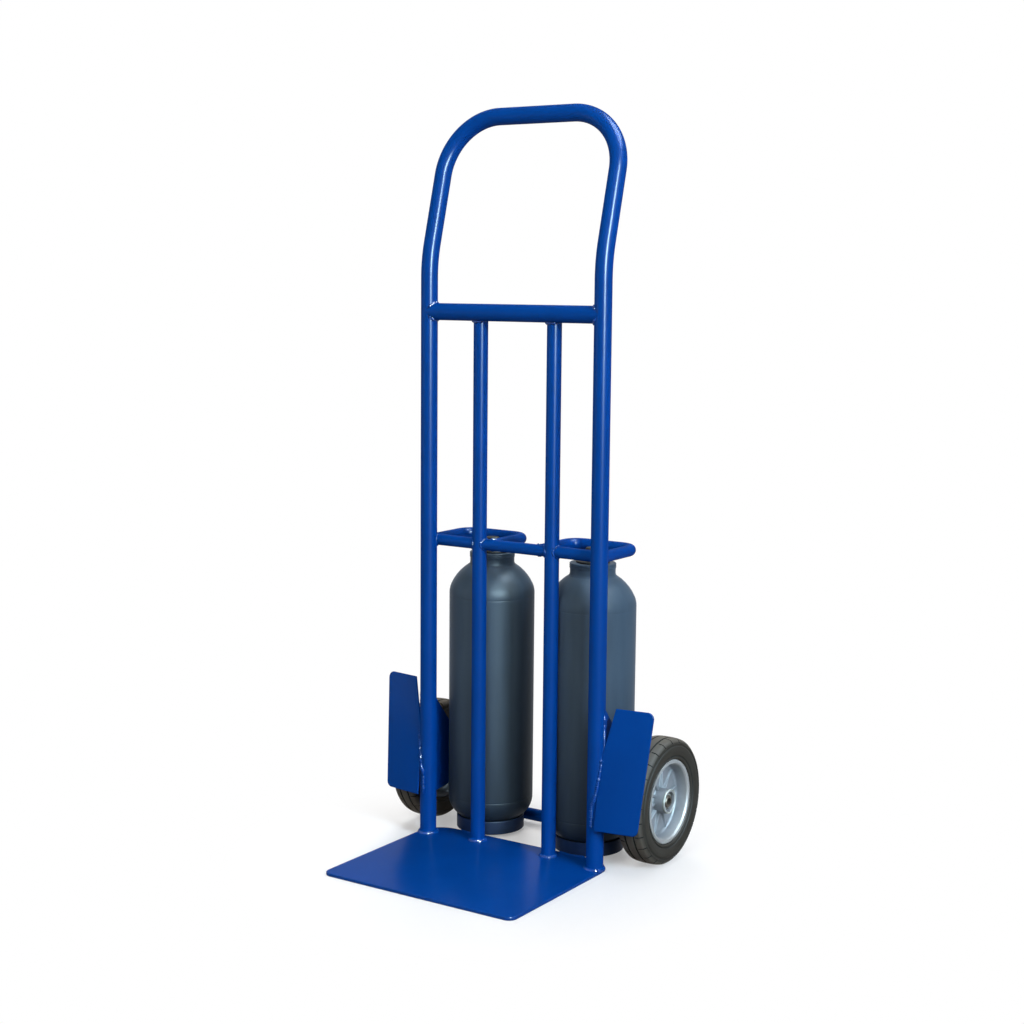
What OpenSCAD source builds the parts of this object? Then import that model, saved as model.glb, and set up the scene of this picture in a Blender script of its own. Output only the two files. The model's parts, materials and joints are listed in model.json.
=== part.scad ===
// Gas cylinder trolley: welded tube frame, toe plate, two wheels and two small gas cylinders.
// Millimetres, +Z up, toe plate towards -Y, origin on the floor under the middle of the box.

/* [Main tube] */
// Outside diameter of the bent main tube
tube_d = 26.9; // [24:0.1:32]
// Wall of the bent main tube
tube_wall = 2; // [1.5:0.1:4]
// Distance between the centres of the two uprights
upright_pitch = 320; // [300:1:350]
// Height at which the handle starts to lean back
bend_z = 910; // [890:1:1000]
// Angle by which the handle leans back
handle_lean = 15; // [5:0.5:25]
// Centre line radius of the bend where the handle leans back
lean_r = 215; // [120:1:260]
// Sloping length from the end of that bend to the top bar's centre
handle_len = 203; // [150:1:280]
// Centre line radius of the two handle corners
corner_r = 92; // [60:1:110]
// How much a tube or bar draws down in diameter where it is bent
bend_draw = 0.06; // [0.02:0.02:0.3]

/* [Cross tube and inner tubes] */
// Height of the upper cross tube's centre
cross_z = 858; // [800:1:870]
// Outside diameter of the upper cross tube
cross_d = 26.9; // [24:0.1:30]
// Wall of the upper cross tube
cross_wall = 2; // [1.5:0.1:4]
// Outside diameter of the two inner tubes
inner_d = 23; // [20:0.1:25]
// Wall of the two inner tubes
inner_wall = 2; // [1.5:0.1:4]
// Distance between the centres of the two inner tubes
inner_pitch = 136; // [120:1:146]
// How far the inner tubes and the mid bar lie behind the uprights
inner_set = 11; // [6:0.5:14]
// Length of the welded plug that closes the top of an inner tube
inner_cap = 18; // [16:1:30]

/* [Mid bar and keeper loops] */
// Diameter of the mid bar and the keeper loops
bar_d = 18; // [14:0.5:20]
// Height of the mid bar's centre
bar_z = 492; // [480:1:560]
// Distance of a loop's inner leg from the middle of the trolley
loop_in = 44; // [36:1:46]
// Centre line radius of the loop corners
loop_r = 24; // [16:1:30]
// Gap between a neck plug and the loop behind it
plug_gap = 2; // [1:0.5:4]

/* [Toe plate] */
// How far the toe plate reaches past the outer sides of the uprights
plate_edge = 1; // [0.5:0.5:20]
// Length of the toe plate in front of the uprights' centres
plate_front = 254; // [200:1:320]
// Length of the toe plate behind the uprights' centres
plate_back = 38; // [36:0.5:44]
// Thickness of the toe plate
plate_t = 5; // [4:0.5:8]
// Radius of the toe plate's front corners
plate_r = 14; // [6:1:30]
// Radius of the toe plate's rear corners, round the uprights
plate_back_r = 44; // [20:1:45]

/* [Wheels] */
// Outside diameter of a tyre
wheel_d = 200; // [190:1:210]
// Width of a tyre
tyre_w = 48; // [44:1:52]
// Radius of the tyre's shoulders
tyre_shoulder = 10; // [6:0.5:12]
// Diameter of the rim where the tyre sits
seat_d = 133; // [125:1:140]
// Width of the rim
rim_w = 41; // [38:1:43]
// Wall of the rim at its edge
rim_wall = 6; // [4:0.5:8]
// Slope of the dish wall, from edge to web
rim_draft = 4; // [2:0.5:6]
// Thickness of the rim's web
web_t = 6; // [4:0.5:8]
// How far the web lies on the frame's side of the wheel's middle
web_set = 4; // [2:0.5:6]
// Number of ribs on each side of the web
rib_count = 10; // [6:1:14]
// Angle of the first rib
rib_turn = 26; // [0:1:36]
// Thickness of a rib
rib_t = 3.5; // [3:0.5:5]
// Height of a rib above the web at the hub
rib_h = 5.5; // [4:0.5:9]
// Height of a rib above the web at the dish wall
rib_low = 2; // [1:0.5:4]
// Diameter of the hub at its ends
hub_d = 36; // [35:0.5:40]
// Slope of the hub, from its ends to the web
hub_draft = 2; // [1:0.5:4]
// Length of the hub on the frame's side of the wheel's middle
hub_in = 25; // [25:0.5:27]
// Length of the hub on the outer side of the wheel's middle
hub_out = 19.5; // [18:0.5:20]
// Depth from the hub's outer end to the bearing
hub_recess = 8; // [7.5:0.5:10]
// Width of a groove round the tread
groove_w = 2; // [1.5:0.5:4]
// Depth of a groove round the tread
groove_t = 2.5; // [2:0.5:5]
// Distance between the two grooves round the tread
groove_pitch = 15; // [11:0.5:18]

/* [Axles] */
// Diameter of a stub axle
axle_d = 20; // [18:0.5:22]
// Running clearance between axle and bearing, on the radius
axle_clear = 0.05; // [0.02:0.01:0.1]
// Diameter of the hole in a stub axle's outer end
axle_bore = 12; // [8:0.5:13]
// Depth of that hole
axle_bore_len = 25; // [10:1:40]
// Distance of the axles behind the uprights' centres
axle_y = 100; // [97:0.5:106]
// Diameter of the stub axle's collar
collar_d = 30; // [28:0.5:34]
// Length of the stub axle's collar
collar_len = 14.5; // [12:0.5:16]
// Outside diameter of a bearing sleeve
bearing_d = 30; // [28:0.5:31]
// Length by which a bearing stands out of its hub on the frame's side
bearing_proud = 0.5; // [0.3:0.1:1]
// Outside diameter of an axle washer
washer_d = 27.5; // [25:0.5:27.5]
// Thickness of an axle washer
washer_t = 2.5; // [2:0.1:3]
// Side play of a wheel at each end
side_play = 0.2; // [0.1:0.1:0.4]
// Clearance of the washers on the axle, on the radius
washer_clear = 0.1; // [0.05:0.05:0.2]
// Thickness of a retaining ring
clip_t = 1.5; // [1.2:0.1:2]
// Depth of the retaining ring's groove in the axle
clip_seat = 1; // [0.6:0.1:1.5]
// Height of a retaining ring above the axle
clip_rise = 2.6; // [2:0.1:3]
// Width of the gap in a retaining ring
clip_gap = 6; // [4:0.5:9]
// Length of axle beyond the retaining ring
axle_end = 2.4; // [2:0.1:3]

/* [Brackets and guards] */
// Thickness of an axle bracket
bracket_t = 6; // [5:0.5:8]
// Height of the bracket's top corner on the upright
bracket_top = 262; // [230:1:280]
// Height of the bracket's bottom corner on the upright
bracket_bottom = 62; // [50:1:70]
// Radius of the bracket round the axle
bracket_r = 26; // [22:1:30]
// Thickness of a wheel guard
guard_t = 3; // [2.5:0.5:5]
// Gap between a wheel and its guard
guard_gap = 3; // [3:0.5:8]
// Angle by which a guard leans back
guard_lean = 6.5; // [3:0.5:9]
// Angle by which a guard's outer edge is swept back
guard_sweep = 8; // [0:0.5:10]
// Height of a guard's bottom edge
guard_bottom = 71; // [60:1:80]
// Height of a guard's top edge
guard_top = 261; // [245:1:280]
// Height at which a guard's slanting inner edge starts
guard_notch = 184; // [175:1:200]
// How far a guard reaches out from the upright's side at the bottom
guard_reach_low = 65; // [50:1:70]
// How far a guard reaches out from the upright's side at the top
guard_reach_top = 82; // [70:1:86]
// How far the slanting inner edge ends from the upright's side at the top
guard_slant = 19; // [12:1:26]
// Radius of a guard's outer corners
guard_r = 10; // [5:1:14]

/* [Cylinders] */
// Outside diameter of a cylinder
cyl_d = 140; // [134:1:142]
// Wall of a cylinder shell
cyl_wall = 3; // [2.5:0.1:4]
// Gap between a cylinder and the inner tube in front of it
cyl_gap = 0.9; // [0.5:0.1:2]
// Gap between a cylinder and the axle bracket beside it
cyl_side = 1.5; // [1:0.5:3]
// Height of the dished top above the straight shell
dome_h = 58; // [50:1:62]
// Knuckle radius of the dished top
dome_k = 36; // [28:1:40]
// Knuckle radius of the bottom
base_k = 36; // [28:1:40]
// Diameter of the neck ring's lip
neck_d = 74; // [70:1:80]
// Height of the neck ring's lip
lip_h = 9; // [6:0.5:10]
// Diameter of the neck below its lip
waist_d = 70; // [60:1:71]
// Height of the neck ring's top above the crown of the dished top
neck_rise = 10; // [9:0.5:14]
// Radius of the fillet between neck ring and dished top
neck_fillet = 8; // [4:0.5:10]
// Free lift of a cylinder below its keeper loop
neck_gap = 12; // [11:0.5:14]
// How far that fillet laps into the dished top
weld_lap = 0.4; // [0.2:0.1:1]
// Width of a ridge on the neck ring's lip
ridge_w = 1.5; // [1:0.25:2]
// Depth of the grooves between those ridges
ridge_t = 0.8; // [0.5:0.1:1.5]
// Width of the seam lines pressed into a shell
seam_w = 1.6; // [1:0.1:3]
// Depth of the seam lines pressed into a shell
seam_t = 0.6; // [0.3:0.1:1]
// Distance of the seam lines from the ends of the straight shell
seam_in = 3; // [2:1:40]
// Height of a shell's bottom above the foot of its ring
base_gap = 5.5; // [5:0.5:12]
// Outside diameter of a foot ring
ring_d = 98; // [94:1:100]
// Wall of a foot ring
ring_wall = 3; // [2:0.5:4]
// Diameter of a neck plug's flange
plug_flange_d = 54; // [46:1:58]
// Thickness of a neck plug's flange
plug_flange_t = 3; // [2:0.5:4]
// Diameter of a neck plug's stem
plug_d = 24; // [20:0.5:28]
// Height of a neck plug's top above the mid bar's centre
plug_top = 0; // [0:1:8]
// Depth to which a neck plug reaches down into the neck
plug_depth = 16; // [10:1:24]

/* [Foot cups] */
// Outside diameter of a foot cup
cup_d = 112; // [108:1:116]
// Wall of a foot cup
cup_wall = 3; // [2:0.5:3.5]
// Height of a foot cup
cup_h = 22; // [20:0.5:26]
// Depth of a foot cup's socket
cup_depth = 10; // [8:0.5:11]
// Thickness of a foot cup's floor
cup_floor = 3; // [2:0.5:4]
// Diameter of the bar that ties the cups
foot_bar_d = 20; // [16:0.5:22]
// How deep that bar is saddled onto the cups
foot_bar_sink = 4; // [2:0.5:6]
// How far that bar runs past the cups' centres
foot_bar_past = 15; // [5:1:25]

/* [Hidden] */
$fn = 64;

blue = [0.02, 0.2, 0.58];
grey = [0.26, 0.31, 0.36];
steel = [0.7, 0.72, 0.74];
alloy = [0.62, 0.67, 0.72];
black = [0.16, 0.15, 0.14];

// Length by which a cutting shape runs past the face that it cuts
past = 1;

// Uprights and handle
upright_x = upright_pitch / 2;
upright_r = tube_d / 2;
side_x = upright_x + upright_r;
lean_y = lean_r * (1 - cos(handle_lean));
lean_z = bend_z + lean_r * sin(handle_lean);
plate_w = upright_pitch + tube_d + 2 * plate_edge;

// Wheels and axles; local z = 0 is the wheel's middle and +z points away from the frame
wheel_r = wheel_d / 2;
axle_r = axle_d / 2;
collar_x = side_x + collar_len;
bearing_x = collar_x + washer_t + side_play;
wheel_x = bearing_x + bearing_proud + hub_in;
bearing_out = hub_out - hub_recess;
outer_x = wheel_x + bearing_out + side_play;
clip_x = outer_x + washer_t + washer_clear;
axle_len = clip_x + clip_t + axle_end - (side_x - bracket_t);

// Whole box: toe plate's front edge to the back of the wheels
y_mid = (axle_y + wheel_r - plate_front) / 2;

// Inner tubes and cylinders
inner_x = inner_pitch / 2;
cyl_r = cyl_d / 2;
cyl_x = side_x - bracket_t - cyl_side - cyl_r;
reach = cyl_r + inner_d / 2 + cyl_gap;
cyl_y = inner_set + sqrt(reach * reach - (cyl_x - inner_x) * (cyl_x - inner_x));
loop_y = cyl_y + plug_d / 2 + plug_gap + bar_d / 2;

// Foot cups and cylinder heights
cup_z = plate_t;
cup_top = cup_z + cup_h;
foot_z = cup_top - cup_depth;
base_z = foot_z + base_gap;
neck_top = bar_z - bar_d / 2 - neck_gap - plug_flange_t;
crown_z = neck_top - neck_rise;
dome_z = crown_z - dome_h;
crown_r = ((cyl_r - dome_k) * (cyl_r - dome_k) + dome_h * dome_h - dome_k * dome_k)
    / (2 * (dome_h - dome_k));
crown_mid = crown_z - crown_r;
foot_bar_y = cyl_y + cup_d / 2 + foot_bar_d / 2 - foot_bar_sink;
foot_bar_z = cup_z + foot_bar_d / 2;

// Guards: sheet in front of the wheel, leaning and swept back, clear of the tyre's outer shoulder
guard_far = wheel_x + tyre_w / 2 - tyre_shoulder - side_x;
guard_y = axle_y - (wheel_r + guard_gap + guard_t / 2) / cos(guard_lean) - guard_far * tan(guard_sweep);

// Point where a line from p touches the circle of radius r round c; s picks the side
function touch(p, c, r, s) =
    let (v = c - p, d = norm(v), a = atan2(v[1], v[0]) + s * asin(r / d), m = sqrt(d * d - r * r))
    p + m * [cos(a), sin(a)];

// Middle of the circle of radius r that rounds corner b between a and c
function corner_mid(a, b, c, r) =
    let (u = (a - b) / norm(a - b), v = (c - b) / norm(c - b), h = acos(u * v) / 2)
    b + (u + v) / norm(u + v) * r / sin(h);

// Points where that circle leaves the corner's two edges
function corner_ends(a, b, c, r) =
    let (u = (a - b) / norm(a - b), v = (c - b) / norm(c - b), m = r / tan(acos(u * v) / 2))
    [b + u * m, b + v * m];

module at_origin() {
    translate([0, -y_mid, 0]) children();
}

module left() {
    mirror([1, 0, 0]) children();
}

// Everything on the right wheel's axis, with local z along +X
module on_axle(x) {
    translate([x, axle_y, wheel_r]) rotate([0, 90, 0]) children();
}

// Everything on the right cylinder's axis
module on_cylinder() {
    translate([cyl_x, cyl_y, 0]) children();
}

// Quarter or smaller bend of a round bar, starting along local +Y at [r, 0]
module bend(r, d, angle) {
    rotate_extrude(angle = angle) translate([r, 0]) circle(d = d - bend_draw);
}

// Right half of the main tube's run, as a solid of diameter d
module half_run(d, start) {
    translate([upright_x, 0, start]) cylinder(d = d, h = bend_z - start);
    translate([upright_x, lean_r, bend_z]) rotate([90, 0, -90]) bend(lean_r, d, handle_lean);
    translate([0, lean_y, lean_z]) rotate([-handle_lean, 0, 0]) {
        translate([upright_x, 0, 0]) cylinder(d = d, h = handle_len - corner_r);
        translate([upright_x - corner_r, 0, handle_len - corner_r])
            rotate([90, 0, 0]) bend(corner_r, d, 90);
        translate([0, 0, handle_len]) rotate([0, 90, 0]) cylinder(d = d, h = upright_x - corner_r);
    }
}

module main_run(d, start) {
    half_run(d, start);
    left() half_run(d, start);
}

module main_frame_tube() {
    color(blue) at_origin() difference() {
        main_run(tube_d, plate_t);
        main_run(tube_d - 2 * tube_wall, plate_t - past);
    }
}

// Both uprights as plain rods, for saddle cuts
module upright_cut() {
    for (s = [-1, 1]) translate([s * upright_x, 0, 0]) cylinder(d = tube_d, h = bend_z);
}

module cross_rod(d) {
    translate([-upright_x, 0, cross_z]) rotate([0, 90, 0]) cylinder(d = d, h = upright_pitch);
}

module upper_cross_tube() {
    color(blue) at_origin() difference() {
        cross_rod(cross_d);
        cross_rod(cross_d - 2 * cross_wall);
        upright_cut();
    }
}

module inner_rod(d, z, h) {
    translate([inner_x, inner_set, z]) cylinder(d = d, h = h);
}

module inner_tube() {
    color(blue) difference() {
        inner_rod(inner_d, plate_t, cross_z - plate_t);
        inner_rod(inner_d - 2 * inner_wall, plate_t - past, cross_z - inner_cap - plate_t + past);
        cross_rod(cross_d);
    }
}

module inner_tube_right() {
    at_origin() inner_tube();
}

module inner_tube_left() {
    at_origin() left() inner_tube();
}

module bar_rod(x0, x1) {
    translate([x0, inner_set, bar_z]) rotate([0, 90, 0]) cylinder(d = bar_d, h = x1 - x0);
}

// Straight outer leg of a loop, from inside the upright to the loop's rear corner
module outer_leg() {
    translate([upright_x, 0, bar_z]) rotate([-90, 0, 0]) cylinder(d = bar_d, h = loop_y - loop_r);
}

module inner_leg() {
    translate([loop_in, inner_set, bar_z])
        rotate([-90, 0, 0]) cylinder(d = bar_d, h = loop_y - loop_r - inner_set);
}

module mid_bar_side() {
    color(blue) difference() {
        bar_rod(inner_x, upright_x);
        upright_cut();
        outer_leg();
        inner_rod(inner_d, 0, cross_z);
    }
}

module mid_bar_right() {
    at_origin() mid_bar_side();
}

module mid_bar_left() {
    at_origin() left() mid_bar_side();
}

module mid_bar_centre() {
    color(blue) at_origin() difference() {
        bar_rod(-inner_x, inner_x);
        inner_rod(inner_d, 0, cross_z);
        left() inner_rod(inner_d, 0, cross_z);
    }
}

module keeper_loop() {
    color(blue) difference() {
        union() {
            outer_leg();
            inner_leg();
            translate([upright_x - loop_r, loop_y - loop_r, bar_z]) bend(loop_r, bar_d, 90);
            translate([loop_in + loop_r, loop_y - loop_r, bar_z])
                rotate([0, 0, 90]) bend(loop_r, bar_d, 90);
            translate([loop_in + loop_r, loop_y, bar_z])
                rotate([0, 90, 0]) cylinder(d = bar_d, h = upright_x - loop_in - 2 * loop_r);
        }
        upright_cut();
        bar_rod(-inner_x, inner_x);
    }
}

module keeper_loop_right() {
    at_origin() keeper_loop();
}

module keeper_loop_left() {
    at_origin() left() keeper_loop();
}

// Toe plate: square-cut sheet with small front corners and wide rear corners round the uprights
module toe_plate() {
    half = plate_w / 2;
    color(blue) at_origin() linear_extrude(plate_t) {
        translate([-half, plate_r - plate_front])
            square([plate_w, plate_front + plate_back - plate_r - plate_back_r]);
        translate([plate_r - half, -plate_front]) square([plate_w - 2 * plate_r, plate_front]);
        translate([plate_back_r - half, -plate_front / 2])
            square([plate_w - 2 * plate_back_r, plate_front / 2 + plate_back]);
        for (s = [-1, 1]) {
            translate([s * (half - plate_r), plate_r - plate_front]) circle(r = plate_r);
            translate([s * (half - plate_back_r), plate_back - plate_back_r]) circle(r = plate_back_r);
        }
    }
}

// Guard outline seen square on: x is measured from the upright's side, y up the slope
module guard_outline() {
    slope = 1 / cos(guard_lean);
    low = (guard_bottom - wheel_r) * slope;
    high = (guard_top - wheel_r) * slope;
    notch = (guard_notch - wheel_r) * slope;
    a = [guard_reach_low, low];
    b = [guard_reach_top, high];
    c = [guard_slant, high];
    d = [0, notch];
    e = [-upright_r, notch];
    f = [-upright_r, low];
    a_cut = corner_ends(f, a, b, guard_r);
    b_cut = corner_ends(a, b, c, guard_r);
    polygon([f, a_cut[0], a_cut[1], b_cut[0], b_cut[1], c, d, e]);
    translate(corner_mid(f, a, b, guard_r)) circle(r = guard_r);
    translate(corner_mid(a, b, c, guard_r)) circle(r = guard_r);
}

module wheel_guard() {
    color(blue) difference() {
        translate([side_x, guard_y, wheel_r]) rotate([90 - guard_lean, 0, guard_sweep])
            linear_extrude(guard_t, center = true) guard_outline();
        translate([upright_x, 0, 0]) cylinder(d = tube_d, h = bend_z);
        translate([upright_x - tube_d, 0, 0]) cube([tube_d + upright_r, axle_y, bend_z]);
        translate([0, -tube_d, 0]) cube([upright_x, tube_d, bend_z]);
    }
}

module wheel_guard_right() {
    at_origin() wheel_guard();
}

module wheel_guard_left() {
    at_origin() left() wheel_guard();
}

// Bracket outline in the plane of y (across) and z (up)
module bracket_outline() {
    hub = [axle_y, wheel_r];
    top = [0, bracket_top];
    bottom = [0, bracket_bottom];
    top_touch = touch(top, hub, bracket_r, 1);
    bottom_touch = touch(bottom, hub, bracket_r, -1);
    polygon([bottom, bottom_touch, hub, top_touch, top]);
    translate(hub) circle(r = bracket_r);
}

module axle_bracket() {
    color(blue) difference() {
        translate([side_x - bracket_t, 0, 0]) rotate([90, 0, 90])
            linear_extrude(bracket_t) bracket_outline();
        upright_cut();
        on_axle(0) cylinder(d = axle_d, h = 2 * side_x);
    }
}

module axle_bracket_right() {
    at_origin() axle_bracket();
}

module axle_bracket_left() {
    at_origin() left() axle_bracket();
}

module stub_axle() {
    chamfer = axle_d / 16;
    color(steel) difference() {
        on_axle(side_x - bracket_t) {
            cylinder(d = axle_d, h = axle_len - chamfer);
            translate([0, 0, axle_len - chamfer])
                cylinder(d1 = axle_d, d2 = axle_d - 2 * chamfer, h = chamfer);
            translate([0, 0, bracket_t]) cylinder(d = collar_d, h = collar_len);
        }
        on_axle(side_x - bracket_t) translate([0, 0, axle_len - axle_bore_len])
            cylinder(d = axle_bore, h = axle_bore_len + past);
        on_axle(clip_x - washer_clear) difference() {
            cylinder(d = axle_d + 2 * past, h = clip_t + 2 * washer_clear);
            translate([0, 0, -past])
                cylinder(d = axle_d - 2 * clip_seat, h = clip_t + 2 * washer_clear + 2 * past);
        }
    }
}

module stub_axle_right() {
    at_origin() stub_axle();
}

module stub_axle_left() {
    at_origin() left() stub_axle();
}

module washer() {
    difference() {
        cylinder(d = washer_d, h = washer_t);
        translate([0, 0, -past]) cylinder(d = axle_d + 2 * washer_clear, h = washer_t + 2 * past);
    }
}

module washer_pair() {
    on_axle(collar_x) washer();
    on_axle(outer_x) washer();
}

module axle_washers() {
    color(steel) at_origin() {
        washer_pair();
        left() washer_pair();
    }
}

// Retaining ring in the axle's groove, open at one side
module retaining_ring() {
    on_axle(clip_x) difference() {
        cylinder(d = axle_d + 2 * clip_rise, h = clip_t);
        translate([0, 0, -past])
            cylinder(d = axle_d - 2 * clip_seat + 2 * washer_clear, h = clip_t + 2 * past);
        translate([0, -clip_gap / 2, -past]) cube([axle_d, clip_gap, clip_t + 2 * past]);
    }
}

module retaining_rings() {
    color(steel) at_origin() {
        retaining_ring();
        left() retaining_ring();
    }
}

module tyre() {
    r0 = seat_d / 2;
    half = tyre_w / 2;
    k = tyre_shoulder;
    color(black) rotate_extrude($fn = 128) difference() {
        union() {
            translate([r0, -half]) square([wheel_r - k - r0, tyre_w]);
            translate([r0, k - half]) square([wheel_r - r0, tyre_w - 2 * k]);
            for (s = [-1, 1]) translate([wheel_r - k, s * (half - k)]) circle(r = k);
        }
        for (s = [-1, 1])
            translate([wheel_r - groove_t, s * groove_pitch / 2 - groove_w / 2])
                square([groove_t + past, groove_w]);
    }
}

module tyre_right() {
    at_origin() on_axle(wheel_x) tyre();
}

module tyre_left() {
    at_origin() left() on_axle(wheel_x) tyre();
}

// Dished rim: rounded lips, deep web and drafted hub in one turned section, with gusset ribs
module rim() {
    r0 = seat_d / 2;
    edge = r0 - rim_wall;
    deep = edge - rim_draft;
    lip = rim_wall / 2;
    face = rim_w / 2 - lip;
    hub_r = hub_d / 2;
    foot_r = hub_r + hub_draft;
    bore_r = bearing_d / 2;
    web_out = web_t / 2 - web_set;
    web_in = -web_t / 2 - web_set;
    color(alloy) {
        rotate_extrude($fn = 128) {
            polygon([[bore_r, -hub_in], [hub_r, -hub_in], [foot_r, web_in], [deep, web_in],
                [edge, -face], [r0, -face], [r0, face], [edge, face], [deep, web_out],
                [foot_r, web_out], [hub_r, hub_out], [bore_r, hub_out]]);
            for (s = [-1, 1]) translate([r0 - lip, s * face]) circle(r = lip);
        }
        for (i = [0 : rib_count - 1]) rotate([0, 0, rib_turn + i * 360 / rib_count]) {
            rib(web_out, 1, hub_r, deep + rim_draft / 2);
            rib(web_in, -1, hub_r, deep + rim_draft / 2);
        }
    }
}

// One gusset rib on the web's face, from the hub to the dish wall; side is 1 outside and -1 inside
module rib(face, side, from_r, to_r) {
    root = face - side * web_t / 3;
    rotate([90, 0, 0]) linear_extrude(rib_t, center = true)
        polygon([[from_r, root], [to_r, root], [to_r, face + side * rib_low],
            [from_r, face + side * rib_h]]);
}

module rim_right() {
    at_origin() on_axle(wheel_x) rim();
}

module rim_left() {
    at_origin() left() on_axle(wheel_x) rim();
}

module bearing() {
    low = -hub_in - bearing_proud;
    len = hub_in + bearing_proud + bearing_out;
    color(steel) translate([0, 0, low]) difference() {
        cylinder(d = bearing_d, h = len);
        translate([0, 0, -past]) cylinder(d = axle_d + 2 * axle_clear, h = len + 2 * past);
    }
}

module bearing_right() {
    at_origin() on_axle(wheel_x) bearing();
}

module bearing_left() {
    at_origin() left() on_axle(wheel_x) bearing();
}

// Half outline of a shell, in by the given wall: dished top, straight side, rounded bottom
module shell_outline(wall) {
    k = dome_k - wall;
    big = crown_r - wall;
    side = cyl_r - wall;
    slant = [cyl_r - dome_k, dome_z - crown_mid];
    far = [0, crown_mid] + 2 * big * slant / norm(slant);
    b = base_k - wall;
    low = base_z + base_k;
    intersection() {
        translate([0, crown_mid]) circle(r = big, $fn = 128);
        polygon([[0, crown_mid], far, [0, far[1] + big]]);
    }
    intersection() {
        translate([cyl_r - dome_k, dome_z]) circle(r = k);
        translate([0, low]) square([side, crown_z - low]);
    }
    translate([0, low]) square([side, dome_z - low]);
    translate([cyl_r - base_k, low]) circle(r = b);
    translate([0, base_z + wall]) square([cyl_r - base_k, base_k]);
}

module shell_solid(wall) {
    rotate_extrude($fn = 128) intersection() {
        shell_outline(wall);
        square([cyl_d, bar_z]);
    }
}

module seam(z) {
    rotate_extrude($fn = 128) translate([cyl_r - seam_t, z - seam_w / 2])
        square([seam_t + past, seam_w]);
}

module cylinder_shell() {
    color(grey) on_cylinder() difference() {
        shell_solid(0);
        shell_solid(cyl_wall);
        seam(dome_z - seam_in);
        seam(base_z + base_k + seam_in);
        translate([0, 0, dome_z]) cylinder(d = plug_d, h = bar_z);
    }
}

module cylinder_shell_right() {
    at_origin() cylinder_shell();
}

module cylinder_shell_left() {
    at_origin() left() cylinder_shell();
}

module foot_ring() {
    color(grey) on_cylinder() difference() {
        translate([0, 0, foot_z]) cylinder(d = ring_d, h = base_gap + base_k);
        translate([0, 0, foot_z - past])
            cylinder(d = ring_d - 2 * ring_wall, h = base_gap + base_k + 2 * past);
        shell_solid(0);
    }
}

module foot_ring_right() {
    at_origin() foot_ring();
}

module foot_ring_left() {
    at_origin() left() foot_ring();
}

// Neck ring: grooved lip on a narrower waist that flares into the dished top
module neck_ring() {
    out = waist_d / 2 + neck_fillet;
    near = crown_r + neck_fillet - weld_lap;
    mid = [out, crown_mid + sqrt(near * near - out * out)];
    color(grey) on_cylinder() difference() {
        union() {
            translate([0, 0, neck_top - lip_h]) cylinder(d = neck_d, h = lip_h);
            translate([0, 0, dome_z]) cylinder(d = waist_d, h = neck_top - lip_h / 2 - dome_z);
            rotate_extrude() difference() {
                polygon([[0, crown_mid], mid, [0, mid[1]]]);
                translate(mid) circle(r = neck_fillet);
            }
        }
        translate([0, 0, dome_z - past]) cylinder(d = plug_d, h = bar_z);
        shell_solid(0);
        for (i = [0, 1]) rotate_extrude()
            translate([neck_d / 2 - ridge_t, neck_top - ridge_w * (2 * i + 2)])
                square([ridge_t + past, ridge_w]);
    }
}

module neck_ring_right() {
    at_origin() neck_ring();
}

module neck_ring_left() {
    at_origin() left() neck_ring();
}

module neck_plug() {
    color(black) on_cylinder() {
        translate([0, 0, neck_top]) cylinder(d = plug_flange_d, h = plug_flange_t);
        translate([0, 0, neck_top - plug_depth])
            cylinder(d = plug_d, h = bar_z + plug_top - neck_top + plug_depth);
    }
}

module neck_plug_right() {
    at_origin() neck_plug();
}

module neck_plug_left() {
    at_origin() left() neck_plug();
}

module foot_cup() {
    color(grey) on_cylinder() difference() {
        translate([0, 0, cup_z]) cylinder(d = cup_d, h = cup_h);
        translate([0, 0, foot_z]) cylinder(d = cup_d - 2 * cup_wall, h = cup_depth + past);
        translate([0, 0, cup_z - past])
            cylinder(d = cup_d - 2 * cup_wall, h = cup_h - cup_depth - cup_floor + past);
    }
}

module foot_cup_right() {
    at_origin() foot_cup();
}

module foot_cup_left() {
    at_origin() left() foot_cup();
}

module rear_foot_bar() {
    half = cyl_x + foot_bar_past;
    color(blue) at_origin() difference() {
        translate([-half, foot_bar_y, foot_bar_z])
            rotate([0, 90, 0]) cylinder(d = foot_bar_d, h = 2 * half);
        for (s = [-1, 1]) translate([s * cyl_x, cyl_y, 0]) cylinder(d = cup_d, h = cup_top + past);
    }
}

main_frame_tube();
upper_cross_tube();
inner_tube_left();
inner_tube_right();
mid_bar_left();
mid_bar_centre();
mid_bar_right();
keeper_loop_left();
keeper_loop_right();
toe_plate();
wheel_guard_left();
wheel_guard_right();
axle_bracket_left();
axle_bracket_right();
stub_axle_left();
stub_axle_right();
axle_washers();
retaining_rings();
foot_cup_left();
foot_cup_right();
rear_foot_bar();
tyre_left();
tyre_right();
rim_left();
rim_right();
bearing_left();
bearing_right();
cylinder_shell_left();
cylinder_shell_right();
foot_ring_left();
foot_ring_right();
neck_ring_left();
neck_ring_right();
neck_plug_left();
neck_plug_right();
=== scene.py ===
import json
import math
import random

import bmesh
import bpy
from mathutils import Matrix, Vector


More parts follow.
